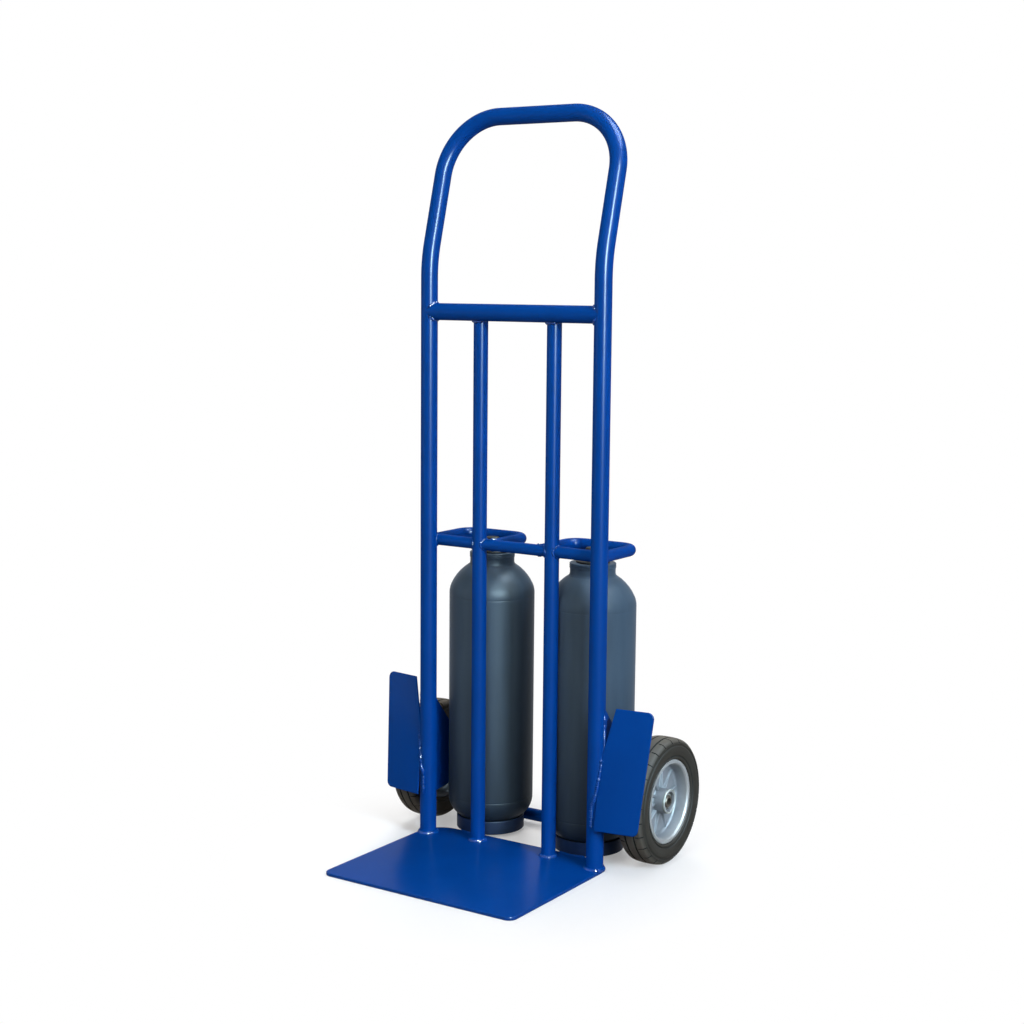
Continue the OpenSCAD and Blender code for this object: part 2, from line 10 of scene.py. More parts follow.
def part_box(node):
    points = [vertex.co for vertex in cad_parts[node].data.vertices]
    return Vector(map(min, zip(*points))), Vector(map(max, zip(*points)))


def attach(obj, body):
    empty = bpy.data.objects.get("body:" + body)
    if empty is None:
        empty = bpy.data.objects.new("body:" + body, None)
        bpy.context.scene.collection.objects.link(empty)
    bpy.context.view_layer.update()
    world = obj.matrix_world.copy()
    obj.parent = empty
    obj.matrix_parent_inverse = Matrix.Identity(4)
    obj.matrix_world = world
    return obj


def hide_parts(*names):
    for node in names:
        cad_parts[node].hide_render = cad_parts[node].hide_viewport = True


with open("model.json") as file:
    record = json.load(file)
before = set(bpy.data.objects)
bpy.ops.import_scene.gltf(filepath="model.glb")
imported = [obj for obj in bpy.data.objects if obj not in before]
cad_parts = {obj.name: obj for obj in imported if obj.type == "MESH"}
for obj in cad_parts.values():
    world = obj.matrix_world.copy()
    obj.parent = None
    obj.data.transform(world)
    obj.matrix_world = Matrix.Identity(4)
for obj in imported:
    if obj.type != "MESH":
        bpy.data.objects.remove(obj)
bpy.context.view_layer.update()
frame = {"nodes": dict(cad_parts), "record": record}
scene = bpy.context.scene

MM = 0.001  # lengths below are in millimetres, meshes are in metres
SIDES = {"right": 1, "left": -1}


# Places read from the frame


def corners_mm(node):
    """Lowest and highest corner of a CAD node, in millimetres."""
    low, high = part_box(node)
    return Vector(low) / MM, Vector(high) / MM


def middle_mm(node):
    """Middle of a CAD node's box, in millimetres."""
    low, high = corners_mm(node)
    return (low + high) / 2


TUBE_R = 26.9 / 2
INNER_R = 23.0 / 2
BAR_R = 18.0 / 2
WHEEL_R = 100.0
PLATE_T = corners_mm("toe_plate")[1].z

UPRIGHT_X = corners_mm("main_frame_tube")[1].x - TUBE_R
UPRIGHT_Y = corners_mm("main_frame_tube")[0].y + TUBE_R
INNER_X = middle_mm("inner_tube_right").x
INNER_Y = middle_mm("inner_tube_right").y
BAR_Z = middle_mm("mid_bar_centre").z
CROSS_Z = middle_mm("upper_cross_tube").z
LOOP_X = corners_mm("keeper_loop_right")[0].x + BAR_R
SHELL = middle_mm("cylinder_shell_right")
SHELL_R = 70.0
WHEEL = middle_mm("tyre_right")


# Mesh helpers

WELD_DISTANCE = 1e-6  # metres within which two points of a mesh are one
HALF_SIDE = 0.499  # largest share of a side that a rounded corner takes up


def new_piece(name, points, faces, body, material, sharp=35):
    """Closed mesh from points in millimetres, riding on a body and taking a finish; edges that turn by
    more than sharp, in degrees, stay sharp."""
    mesh = bpy.data.meshes.new(name)
    mesh.from_pydata([Vector(p) * MM for p in points], [], faces)
    tidy = bmesh.new()
    tidy.from_mesh(mesh)
    bmesh.ops.remove_doubles(tidy, verts=tidy.verts, dist=WELD_DISTANCE)
    bmesh.ops.recalc_face_normals(tidy, faces=tidy.faces)
    tidy.to_mesh(mesh)
    tidy.free()
    mesh.polygons.foreach_set("use_smooth", [True] * len(mesh.polygons))
    mesh.set_sharp_from_angle(angle=math.radians(sharp))
    piece = bpy.data.objects.new(name, mesh)
    scene.collection.objects.link(piece)
    piece.data.materials.append(material)
    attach(piece, body)
    return piece


def rounded(corners, closed=True, step=12):
    """Line through corners (a, b, radius), each corner rounded by its own radius."""
    line = []
    count = len(corners)
    for i, (a, b, radius) in enumerate(corners):
        here = Vector((a, b))
        if radius <= 0 or (not closed and i in (0, count - 1)):
            line.append((a, b))
            continue
        before = Vector(corners[i - 1][:2]) - here
        after = Vector(corners[(i + 1) % count][:2]) - here
        half = before.angle(after) / 2
        reach = min(radius / math.tan(half), before.length * HALF_SIDE, after.length * HALF_SIDE)
        real = reach * math.tan(half)
        centre = here + (before.normalized() + after.normalized()).normalized() * real / math.sin(half)
        start = here + before.normalized() * reach - centre
        end = here + after.normalized() * reach - centre
        turn = start.angle_signed(end)
        parts = max(2, int(abs(math.degrees(turn)) / step) + 1)
        for k in range(parts + 1):
            spoke = start.copy()
            spoke.rotate(Matrix.Rotation(-turn * k / parts, 2))
            line.append(tuple(centre + spoke))
    return line


def rings_to_faces(rings, around, closed):
    """Quads between rings of points; closed joins the last ring to the first."""
    faces = []
    last = rings if closed else rings - 1
    for i in range(last):
        for j in range(around):
            a, b = i * around, ((i + 1) % rings) * around
            k = (j + 1) % around
            faces.append((a + j, a + k, b + k, b + j))
    return faces


def turned(section, around, closed=False):
    """Points and faces of a section (radius, height) turned about local Z."""
    points = []
    for radius, height in section:
        for j in range(around):
            angle = 2 * math.pi * j / around
            points.append((radius * math.cos(angle), radius * math.sin(angle), height))
    return points, rings_to_faces(len(section), around, closed)


def dressed_plate(outline, thick, worn):
    """Points and faces of a flat plate from its outline (u, v), its edges rounded by worn; w is up."""
    count = len(outline)
    area = sum(outline[i - 1][0] * outline[i][1] - outline[i][0] * outline[i - 1][1] for i in range(count))
    inwards = []
    for i in range(count):
        along = Vector(outline[(i + 1) % count]) - Vector(outline[i - 1])
        inwards.append(Vector((-along.y, along.x)).normalized() * math.copysign(1.0, area))
    turns = [math.radians(22.5 * k) for k in range(5)]
    curve = [(worn * (1 - math.cos(a)), worn * (1 - math.sin(a))) for a in turns]
    levels = list(reversed(curve))
    levels += [(inset, thick - drop) for inset, drop in curve]
    points = []
    for inset, w in levels:
        points += [(u + n.x * inset, v + n.y * inset, w - thick / 2) for (u, v), n in zip(outline, inwards)]
    faces = rings_to_faces(len(levels), count, False)
    faces.append(tuple(reversed(range(count))))
    faces.append(tuple(range((len(levels) - 1) * count, len(levels) * count)))
    return points, faces


def on_axle(side, points):
    """Local Z outwards from the trolley, to the wheel's place on that side."""
    s = SIDES[side]
    return [(s * (WHEEL.x + z), WHEEL.y + y, WHEEL.z - x) for x, y, z in points]


def on_cylinder(side, points):
    """Points about local Z, to the cylinder's axis on that side; heights stay as they are."""
    s = SIDES[side]
    return [(s * (SHELL.x + x), SHELL.y + y, z) for x, y, z in points]


# Materials

FACTOR, FIRST, SECOND, BLEND = 0, 6, 7, 2  # sockets of a Mix node set to colours: three inputs and its result
NOISE_LOW, NOISE_HIGH = 0.3, 0.7  # most values of a noise lie between these
SHADE_TOP = 0.3  # metres above the floor below which the slate paint darkens with painted shade
TREAD_FROM, TREAD_FULL = 93.0, 97.0  # distances from the axle between which the tread begins, paler from floor wear and from painted light
LIP_FROM, LIP_FULL = 57.5, 59.5  # and the rim's skimmed lip
INNER_SHADE_TO, UNSHADED_FROM = 6.5, 3.0  # depths inside the wheel's middle: fully in painted shade, and free of it


def linear(colour):
    """Linear RGBA of an sRGB hex colour."""
    parts = [int(colour[i : i + 2], 16) / 255 for i in (1, 3, 5)]
    return [c / 12.92 if c <= 0.04045 else ((c + 0.055) / 1.055) ** 2.4 for c in parts] + [1.0]


def add(tree, kind, inputs=None, **settings):
    """Adds a node with its settings; an input given as a socket is linked, any other is set."""
    node = tree.nodes.new("ShaderNode" + kind)
    for key, value in settings.items():
        setattr(node, key, value)
    for key, value in (inputs or {}).items():
        if isinstance(value, bpy.types.NodeSocket):
            tree.links.new(value, node.inputs[key])
        else:
            node.inputs[key].default_value = value
    return node


def new_material(name):
    """Empty node material, its tree and its coordinates in metres."""
    material = bpy.data.materials.new(name)
    material.use_nodes = True
    tree = material.node_tree
    tree.nodes.clear()
    return material, tree, add(tree, "TexCoord").outputs["Object"]


def per_mm(size):
    """Texture scale that gives a pattern of this size in millimetres."""
    return 1 / (size * MM)


def from_axle(tree, at):
    """Distance of a point from the wheels' axle line, in metres."""
    out = add(tree, "VectorMath", {0: at, 1: (0.0, WHEEL.y * MM, WHEEL.z * MM)}, operation="SUBTRACT")
    out = add(tree, "VectorMath", {0: out.outputs["Vector"], 1: (0.0, 1.0, 1.0)}, operation="MULTIPLY")
    return add(tree, "VectorMath", {0: out.outputs["Vector"]}, operation="LENGTH").outputs["Value"]


def stoved_blue_enamel(name, coat, coat_rough, cut_edges):
    """Stoved gloss enamel on welded steel: even deep blue, faint broad drifts in tone where the
    coat runs thicker, and a fine orange peel that breaks up the edge of each highlight. It flows
    together over the beads of the welds, so those take a fuller coat and glint."""
    material, tree, at = new_material(name)
    drift = add(tree, "TexNoise", {"Vector": at, "Scale": per_mm(90), "Detail": 3.0}).outputs["Fac"]
    tone = add(tree, "Mix", {
        FACTOR: drift, FIRST: linear("#003A84"), SECOND: linear("#004395"),
    }, data_type="RGBA")
    haze = add(tree, "TexNoise", {"Vector": at, "Scale": per_mm(22), "Detail": 4.0}).outputs["Fac"]
    rough = add(tree, "MapRange", {
        "Value": haze, "From Min": NOISE_LOW, "From Max": NOISE_HIGH, "To Min": 0.2, "To Max": 0.3,
    })
    # orange peel cells of about 4 mm, twice their true size so that they show
    peel = add(tree, "TexNoise", {"Vector": at, "Scale": per_mm(4), "Detail": 1.0}).outputs["Fac"]
    skin = add(tree, "Bump", {"Height": peel, "Strength": 0.01, "Distance": 0.1 * MM})
    if cut_edges:
        # the coat rounds every cut edge by about 0.8 mm
        edge = add(tree, "Bevel", {"Radius": 0.8 * MM}, samples=4).outputs["Normal"]
        tree.links.new(edge, skin.inputs["Normal"])
    surface = add(tree, "BsdfPrincipled", {
        "Base Color": tone.outputs[BLEND], "Roughness": rough.outputs["Result"],
        "Normal": skin.outputs["Normal"],
        "IOR": 1.5, "Specular IOR Level": 0.0, "Coat Weight": coat, "Coat Roughness": coat_rough,
        "Coat Normal": skin.outputs["Normal"],
    })
    add(tree, "OutputMaterial", {"Surface": surface.outputs["BSDF"]})
    return material


def slate_air_dried_paint(name, deep, pale):
    """Air-dried satin paint sprayed on pressed steel: slate grey, faint long streaks from the spray
    passes down the shell, and a dry fine grain that spreads the highlights. The lowest 300 mm darken
    towards the floor with painted shade; the foot cups' blue tint is a painted reflection of the toe plate."""
    material, tree, at = new_material(name)
    bands = add(tree, "Mapping", {"Vector": at, "Scale": (1.0, 1.0, 0.12)}).outputs["Vector"]
    cloud = add(tree, "TexNoise", {"Vector": bands, "Scale": per_mm(24), "Detail": 4.0}).outputs["Fac"]
    tone = add(tree, "Mix", {
        FACTOR: cloud, FIRST: linear(deep), SECOND: linear(pale),
    }, data_type="RGBA")
    # painted shade: the slate darkens towards near black over the lowest 300 mm, standing in for the shade
    # near the floor
    high = add(tree, "SeparateXYZ", {"Vector": at}).outputs["Z"]
    unshaded = add(tree, "MapRange", {"Value": high, "From Max": SHADE_TOP, "To Min": 0.25}).outputs["Result"]
    tone = add(tree, "Mix", {
        FACTOR: unshaded, FIRST: linear("#0B0E12"), SECOND: tone.outputs[BLEND],
    }, data_type="RGBA")
    grain = add(tree, "TexNoise", {"Vector": at, "Scale": per_mm(1.2), "Detail": 2.0}).outputs["Fac"]
    rough = add(tree, "MapRange", {
        "Value": cloud, "From Min": NOISE_LOW, "From Max": NOISE_HIGH, "To Min": 0.4, "To Max": 0.5,
    })
    skin = add(tree, "Bump", {"Height": grain, "Strength": 0.12, "Distance": 0.1 * MM})
    surface = add(tree, "BsdfPrincipled", {
        "Base Color": tone.outputs[BLEND], "Roughness": rough.outputs["Result"],
        "Normal": skin.outputs["Normal"],
        "IOR": 1.5, "Specular IOR Level": 0.045,
    })
    add(tree, "OutputMaterial", {"Surface": surface.outputs["BSDF"]})
    return material


def moulded_black_rubber():
    """Solid moulded rubber: brown-grey black with a bloom of dust, matt, with a fine moulded grain; painted
    shade darkens its crevices, and the tread is paler, partly from floor wear and partly as painted light."""
    material, tree, at = new_material("moulded_black_rubber")
    bloom = add(tree, "TexNoise", {"Vector": at, "Scale": per_mm(35), "Detail": 5.0, "Roughness": 0.6})
    bloom = bloom.outputs["Fac"]
    tone = add(tree, "Mix", {
        FACTOR: bloom, FIRST: linear("#241E17"), SECOND: linear("#39332B"),
    }, data_type="RGBA")
    # the tread's paler rubber is partly floor wear and partly painted light, standing in for light that the
    # guard keeps off it
    out = from_axle(tree, at)
    worn = add(tree, "MapRange", {"Value": out, "From Min": TREAD_FROM * MM, "From Max": TREAD_FULL * MM})
    tone = add(tree, "Mix", {
        FACTOR: worn.outputs["Result"], FIRST: tone.outputs[BLEND], SECOND: linear("#5C554B"),
    }, data_type="RGBA")
    # painted shade: ambient occlusion darkens the crevices towards near black
    corner = add(tree, "AmbientOcclusion", {"Distance": 5 * MM}, samples=8, only_local=True).outputs["AO"]
    deep = add(tree, "MapRange", {"Value": corner, "From Min": 0.45, "From Max": 0.95}).outputs["Result"]
    tone = add(tree, "Mix", {
        FACTOR: deep, FIRST: linear("#100F0E"), SECOND: tone.outputs[BLEND],
    }, data_type="RGBA")
    grain = add(tree, "TexNoise", {"Vector": at, "Scale": per_mm(0.9), "Detail": 3.0}).outputs["Fac"]
    rough = add(tree, "MapRange", {
        "Value": bloom, "From Min": NOISE_LOW, "From Max": NOISE_HIGH, "To Min": 0.55, "To Max": 0.75,
    })
    skin = add(tree, "Bump", {"Height": grain, "Strength": 0.3, "Distance": 0.12 * MM})
    surface = add(tree, "BsdfPrincipled", {
        "Base Color": tone.outputs[BLEND], "Roughness": rough.outputs["Result"],
        "Normal": skin.outputs["Normal"],
        "IOR": 1.52, "Specular IOR Level": 0.05,
    })
    add(tree, "OutputMaterial", {"Surface": surface.outputs["BSDF"]})
    return material


def silver_lacquered_casting():
    """Die-cast alloy under silver lacquer: cool pale grey, softly metallic, the cast skin showing as a
    slight mottle; painted shade darkens the corners and the inner side behind the web."""
    material, tree, at = new_material("silver_lacquered_casting")
    mottle = add(tree, "TexNoise", {"Vector": at, "Scale": per_mm(9), "Detail": 5.0}).outputs["Fac"]
    tone = add(tree, "Mix", {
        FACTOR: mottle, FIRST: linear("#808286"), SECOND: linear("#96989B"),
    }, data_type="RGBA")
    # painted shade: ambient occlusion darkens the corners between the ribs, hub and dish wall
    corner = add(tree, "AmbientOcclusion", {"Distance": 9 * MM}, samples=8, only_local=True).outputs["AO"]
    # the lip is skimmed on the lathe and stays brighter
    out = from_axle(tree, at)
    lip = add(tree, "MapRange", {"Value": out, "From Min": LIP_FROM * MM, "From Max": LIP_FULL * MM})
    tone = add(tree, "Mix", {
        FACTOR: lip.outputs["Result"], FIRST: tone.outputs[BLEND], SECOND: linear("#A2A09D"),
    }, data_type="RGBA")
    # painted shade: the inner side, behind the web, is painted dark grey in place of the shade it lies in;
    # the outer side keeps the lacquer's tone
    far = add(tree, "SeparateXYZ", {"Vector": at}).outputs["X"]
    far = add(tree, "Math", {0: far}, operation="ABSOLUTE").outputs[0]
    outer = add(tree, "MapRange", {
        "Value": far, "From Min": (WHEEL.x - INNER_SHADE_TO) * MM, "From Max": (WHEEL.x - UNSHADED_FROM) * MM,
    })
    tone = add(tree, "Mix", {
        FACTOR: outer.outputs["Result"], FIRST: linear("#4A4E52"), SECOND: tone.outputs[BLEND],
    }, data_type="RGBA")
    corner_shaded = add(tree, "Mix", {
        FACTOR: corner, FIRST: linear("#5A5F64"), SECOND: tone.outputs[BLEND],
    }, data_type="RGBA")
    grain = add(tree, "TexNoise", {"Vector": at, "Scale": per_mm(0.8), "Detail": 2.0}).outputs["Fac"]
    rough = add(tree, "MapRange", {
        "Value": mottle, "From Min": NOISE_LOW, "From Max": NOISE_HIGH, "To Min": 0.42, "To Max": 0.55,
    })
    skin = add(tree, "Bump", {"Height": grain, "Strength": 0.15, "Distance": 0.08 * MM})
    surface = add(tree, "BsdfPrincipled", {
        "Base Color": corner_shaded.outputs[BLEND], "Metallic": 0.05, "Roughness": rough.outputs["Result"],
        "Normal": skin.outputs["Normal"], "Specular IOR Level": 0.08,
    })
    add(tree, "OutputMaterial", {"Surface": surface.outputs["BSDF"]})
    return material


def turned_zinc_steel():
    """Turned steel with a thin dulled zinc plate: mid grey with fine turning lines round the axle."""
    material, tree, at = new_material("turned_zinc_steel")
    patch = add(tree, "TexNoise", {"Vector": at, "Scale": per_mm(6), "Detail": 4.0}).outputs["Fac"]
    tone = add(tree, "Mix", {
        FACTOR: patch, FIRST: linear("#5C5A55"), SECOND: linear("#87847E"),
    }, data_type="RGBA")
    # turning lines 2.5 mm apart along X, the axle's own axis, coarser than real ones so that they show;
    # a wave texture swings 20 / (2 pi) times over the length of its scale, here 8 mm
    lines = add(tree, "TexWave", {"Vector": at, "Scale": per_mm(8), "Distortion": 1.0}, bands_direction="X")
    rough = add(tree, "MapRange", {
        "Value": patch, "From Min": NOISE_LOW, "From Max": NOISE_HIGH, "To Min": 0.5, "To Max": 0.65,
    })
    skin = add(tree, "Bump", {"Height": lines.outputs["Fac"], "Strength": 0.1, "Distance": 0.05 * MM})
    surface = add(tree, "BsdfPrincipled", {
        "Base Color": tone.outputs[BLEND], "Metallic": 0.35, "Roughness": rough.outputs["Result"],
        "Normal": skin.outputs["Normal"],
    })
    add(tree, "OutputMaterial", {"Surface": surface.outputs["BSDF"]})
    return material


def oiled_bearing_steel():
    """Hardened bearing steel under a film of oil: dark warm grey with brighter worn tracks."""
    material, tree, at = new_material("oiled_bearing_steel")
    track = add(tree, "TexNoise", {"Vector": at, "Scale": per_mm(4), "Detail": 4.0}).outputs["Fac"]
    tone = add(tree, "Mix", {
        FACTOR: track, FIRST: linear("#211B14"), SECOND: linear("#463B2E"),
    }, data_type="RGBA")
    rough = add(tree, "MapRange", {
        "Value": track, "From Min": NOISE_LOW, "From Max": NOISE_HIGH, "To Min": 0.25, "To Max": 0.45,
    })
    surface = add(tree, "BsdfPrincipled", {
        "Base Color": tone.outputs[BLEND], "Metallic": 0.5, "Roughness": rough.outputs["Result"],
    })
    add(tree, "OutputMaterial", {"Surface": surface.outputs["BSDF"]})
    return material


def moulded_black_plug():
    """Moulded black plastic: near black, satin, with a fine spark-eroded texture."""
    material, tree, at = new_material("moulded_black_plug")
    cloud = add(tree, "TexNoise", {"Vector": at, "Scale": per_mm(14), "Detail": 3.0}).outputs["Fac"]
    tone = add(tree, "Mix", {
        FACTOR: cloud, FIRST: linear("#0E0D0C"), SECOND: linear("#191816"),
    }, data_type="RGBA")
    spark = add(tree, "TexNoise", {"Vector": at, "Scale": per_mm(0.7), "Detail": 2.0}).outputs["Fac"]
    skin = add(tree, "Bump", {"Height": spark, "Strength": 0.2, "Distance": 0.08 * MM})
    rough = add(tree, "MapRange", {
        "Value": cloud, "From Min": NOISE_LOW, "From Max": NOISE_HIGH, "To Min": 0.4, "To Max": 0.55,
    })
    surface = add(tree, "BsdfPrincipled", {
        "Base Color": tone.outputs[BLEND], "Roughness": rough.outputs["Result"],
        "Normal": skin.outputs["Normal"],
        "IOR": 1.5, "Specular IOR Level": 0.1,
    })
    add(tree, "OutputMaterial", {"Surface": surface.outputs["BSDF"]})
    return material


FINISHES = {
    "blue_enamel": stoved_blue_enamel("stoved_blue_enamel", 0.08, 0.26, True),
    "slate_paint": slate_air_dried_paint("slate_air_dried_paint", "#3B4A58", "#4D5F70"),
    "tyre_rubber": moulded_black_rubber(),
    "cast_rim": silver_lacquered_casting(),
    "zinc_steel": turned_zinc_steel(),
    "bearing_steel": oiled_bearing_steel(),
    "black_plug": moulded_black_plug(),
}

TUBE_ENAMEL = stoved_blue_enamel("stoved_blue_enamel_on_tubes", 0.08, 0.26, False)
PLATE_ENAMEL = stoved_blue_enamel("stoved_blue_enamel_on_toe_plate", 0.2, 0.22, True)
WELD_ENAMEL = stoved_blue_enamel("stoved_blue_enamel_on_welds", 0.6, 0.12, False)
SEAM_ENAMEL = stoved_blue_enamel("stoved_blue_enamel_on_seams", 0.2, 0.14, False)
# the cups' slate is tinted blue as a painted reflection of the blue toe plate they stand on
CUP_PAINT = slate_air_dried_paint("slate_paint_with_painted_blue_reflection", "#2A4678", "#385A94")

for part in frame["record"]["subparts"]:
    solid = frame["nodes"][part["node"]]
    solid.data.materials.clear()
    solid.data.materials.append(FINISHES[part["material_slot"]])


# Tyres

SEAT_R = 66.5
TYRE_HALF = 24.0
GROOVE_AT = 7.5
GROOVE_HALF = 1.0
GROOVE_DEEP = 2.5
SIPES = 26
SIPE_HALF = 0.8
SIPE_DEEP = 2.2
SIPE_WALL = 0.12
SIPE_FROM_R = 92.5
SIPE_RUN_IN = 3.0
SIPE_PAST_GROOVE = 1.2


def tyre_section():
    """Closed section (radius, z): bead, hollowed side wall, moulded ring, shoulder and grooved tread."""
    half = [
        (SEAT_R, 19.0, 0), (SEAT_R + 0.4, 20.2, 0.4), (SEAT_R + 2.0, 21.8, 1.0), (70.6, 22.3, 0.8),
        (71.6, 21.0, 0.5), (72.8, 21.0, 0.5), (74.2, 22.6, 1.0), (81.0, 24.0, 10), (87.0, 23.9, 3),
        (88.4, 22.4, 0.6), (90.2, 22.2, 0.6), (91.2, 23.1, 1.0), (94.6, 22.0, 3), (98.4, 18.4, 4),
        (99.4, 14.0, 6),
    ]
    edge = GROOVE_AT + GROOVE_HALF
    groove = [
        (WHEEL_R - 0.15, edge + 0.5, 0.3), (WHEEL_R - GROOVE_DEEP, edge - 0.2, 0.4),
        (WHEEL_R - GROOVE_DEEP, edge - 2 * GROOVE_HALF + 0.2, 0.4),
        (WHEEL_R, edge - 2 * GROOVE_HALF - 0.5, 0.3),
    ]
    upper = half + groove
    lower = [(r, -z, k) for r, z, k in reversed(upper)]
    return rounded(upper + lower)


def tyre_columns():
    """(angle, band) round the tyre: band is 1 in a cut of the outer row, -1 in one of the inner row, which
    lies halfway between, and 0 elsewhere."""
    columns = []
    pitch = 2 * math.pi / SIPES
    wall = SIPE_WALL / WHEEL_R
    for i in range(SIPES):
        for half_turn, band in ((0.0, 1), (0.5, -1)):
            mid = (i + half_turn) * pitch
            cut = SIPE_HALF / WHEEL_R
            columns += [(mid - cut - wall, 0), (mid - cut, band), (mid + cut, band), (mid + cut + wall, 0)]
            columns += [(mid + pitch * f, 0) for f in (0.13, 0.25, 0.37)]
    return columns


def tyre(side):
    """Solid tyre of one wheel, its tread crossed by fine cuts that fade out over the shoulder."""
    section = tyre_section()
    columns = tyre_columns()
    points = []
    for radius, z in section:
        for angle, band in columns:
            r = radius
            if band and z * band > GROOVE_AT + GROOVE_HALF + SIPE_PAST_GROOVE and radius > SIPE_FROM_R:
                fade = min(1.0, (radius - SIPE_FROM_R) / SIPE_RUN_IN)
                r = radius - SIPE_DEEP * fade
            points.append((r * math.cos(angle), r * math.sin(angle), z))
    faces = rings_to_faces(len(section), len(columns), True)
    name = "tyre_" + side
    piece = new_piece(
        "moulded_" + name, on_axle(side, points), faces, "wheel_" + side,
        FINISHES["tyre_rubber"], 30,
    )
    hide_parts(name)


# Rims

RIBS = 10
RIB_TURN = math.radians(26)
HUB_R = 18.0
HUB_FOOT_R = 20.0
BORE_R = 15.0
HUB_OUT = 19.5
HUB_IN = -25.0
WEB_OUT = -1.0
WEB_IN = -7.0
DISH_R = 56.5
LIP_R = 60.5
LIP_Z = 20.5
RIB_HIGH = 5.5
RIB_LOW = 2.0
RIB_GAP = 0.42  # most of a sector that one half of a rib takes up near the hub
WEB_PARTS = 10
LONG_ROW = 12.0
TALL_ROW = 8.0
RIB_FLANK = ((0.0, 1.0), (1.15, 1.0), (1.55, 0.9), (1.8, 0.6), (2.05, 0.28), (2.6, 0.09), (3.5, 0.0))


def rim_section():
    """Closed section (radius, z) of hub, web, dish wall and rounded lips."""
    return rounded([
        (BORE_R, HUB_IN, 0.6), (HUB_R, HUB_IN, 1.0), (HUB_FOOT_R, WEB_IN, 3.5), (DISH_R, WEB_IN, 4.5),
        (LIP_R - 1.6, -LIP_Z + 3.0, 3), (LIP_R + 0.4, -LIP_Z, 1.6), (SEAT_R, -LIP_Z, 2.2),
        (SEAT_R, LIP_Z, 2.2), (LIP_R + 0.4, LIP_Z, 1.6), (LIP_R - 1.6, LIP_Z - 3.0, 3),
        (DISH_R, WEB_OUT, 4.5), (HUB_FOOT_R, WEB_OUT, 3.5), (HUB_R, HUB_OUT, 1.0), (BORE_R, HUB_OUT, 0.6),
    ], step=9)


def web_rows(section):
    """The section with extra rows along each face of the web, so that the ribs follow it."""
    rows = []
    for i, (r, z) in enumerate(section):
        rows.append((r, z))
        nr, nz = section[(i + 1) % len(section)]
        if abs(nr - r) > LONG_ROW or abs(nz - z) > TALL_ROW:
            shares = [k / WEB_PARTS for k in range(1, WEB_PARTS)]
            rows += [(r + (nr - r) * share, z + (nz - z) * share) for share in shares]
    return rows


def rib_columns():
    """(rib, offset across it, height there, share of the gap) round the rim; on a rib the share is None,
    and in a gap the offset is."""
    columns = []
    for i in range(RIBS):
        columns += [(i, -mm, h, None) for mm, h in reversed(RIB_FLANK[1:])]
        columns += [(i, mm, h, None) for mm, h in RIB_FLANK]
        columns += [(i, None, 0.0, f) for f in (0.2, 0.4, 0.6, 0.8)]
    return columns


def rim(side):
    """Dished rim of one wheel with straight ribs on both faces of its web, lower towards the dish wall."""
    rows = web_rows(rim_section())
    columns = rib_columns()
    points = []
    sector = 2 * math.pi / RIBS
    widest = RIB_FLANK[-1][0]
    for r, z in rows:
        along = min(1.0, max(0.0, (r - HUB_FOOT_R) / (DISH_R - HUB_FOOT_R)))
        rise = RIB_HIGH + (RIB_LOW - RIB_HIGH) * along
        for i, offset, height, share in columns:
            narrow = min(1.0, RIB_GAP * sector * r / widest)
            if share is None:
                angle = i * sector + offset * narrow / r
            else:
                free = sector - 2 * widest * narrow / r
                angle = i * sector + widest * narrow / r + free * share
            zz = z
            if HUB_R - 0.5 < r < LIP_R - 0.5 and height > 0:
                if z > (WEB_OUT + WEB_IN) / 2:
                    zz = max(z, WEB_OUT + rise * height)
                else:
                    zz = min(z, WEB_IN - rise * height)
            angle += RIB_TURN
            points.append((r * math.cos(angle), r * math.sin(angle), zz))
    faces = rings_to_faces(len(rows), len(columns), True)
    name = "rim_" + side
    piece = new_piece(
        "cast_" + name, on_axle(side, points), faces, "wheel_" + side, FINISHES["cast_rim"], 40
    )
    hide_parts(name)


def hub_ring(side):
    """Machined ring pressed on the hub's outer end, its face dished towards the bearing."""
    section = rounded([
        (HUB_R - 1.6, HUB_OUT - 0.8, 0.2), (HUB_R - 1.6, HUB_OUT - 0.2, 0.2),
        (HUB_R - 0.4, HUB_OUT + 0.7, 0.5), (HUB_R + 1.3, HUB_OUT + 0.5, 0.7),
        (HUB_R + 1.3, HUB_OUT - 3.2, 0.7), (HUB_R - 1.0, HUB_OUT - 3.2, 0.2),
        (HUB_R - 1.0, HUB_OUT - 0.8, 0.2),
    ], step=15)
    points, faces = turned(section, 96, True)
    new_piece(
        "machined_hub_ring_" + side, on_axle(side, points), faces, "wheel_" + side,
        FINISHES["zinc_steel"], 30,
    )


for side in SIDES:
    tyre(side)
    rim(side)
    hub_ring(side)
# the washers and the ends of the axles are as oily as the bearings
for name in ("axle_washers", "stub_axle_left", "stub_axle_right"):
    frame["nodes"][name].data.materials[0] = FINISHES["bearing_steel"]


# Cylinders

BASE_Z = corners_mm("cylinder_shell_right")[0].z
BASE_K = 36.0
DOME_Z = 400.0
DOME_K = 36.0
CROWN_Z = 458.0
CROWN_R = ((SHELL_R - DOME_K) ** 2 + (CROWN_Z - DOME_Z) ** 2 - DOME_K**2) / (2 * (CROWN_Z - DOME_Z - DOME_K))
LIP_R_NECK = 37.0
LIP_TALL = 9.0
WAIST_R = 36.2
FLARE_R = 8.0
NECK_TOP = 468.0
SEAM_IN = 3.0
SEAMS = (BASE_Z + BASE_K + SEAM_IN, DOME_Z - SEAM_IN)
SEAM_DEEP = 0.25
RIDGE_PITCH = 3.0
RIDGE_DEEP = 0.4
AXIS_R = 0.01  # smallest radius of a turned half section, so that its middle closes
NECK_BORE_R = 12.2
STEM_R = 11.8
STEM_DEEP = 15.8
FLANGE_R = 27.0
FLANGE_T = 3.0
PLUG_R = 12.0
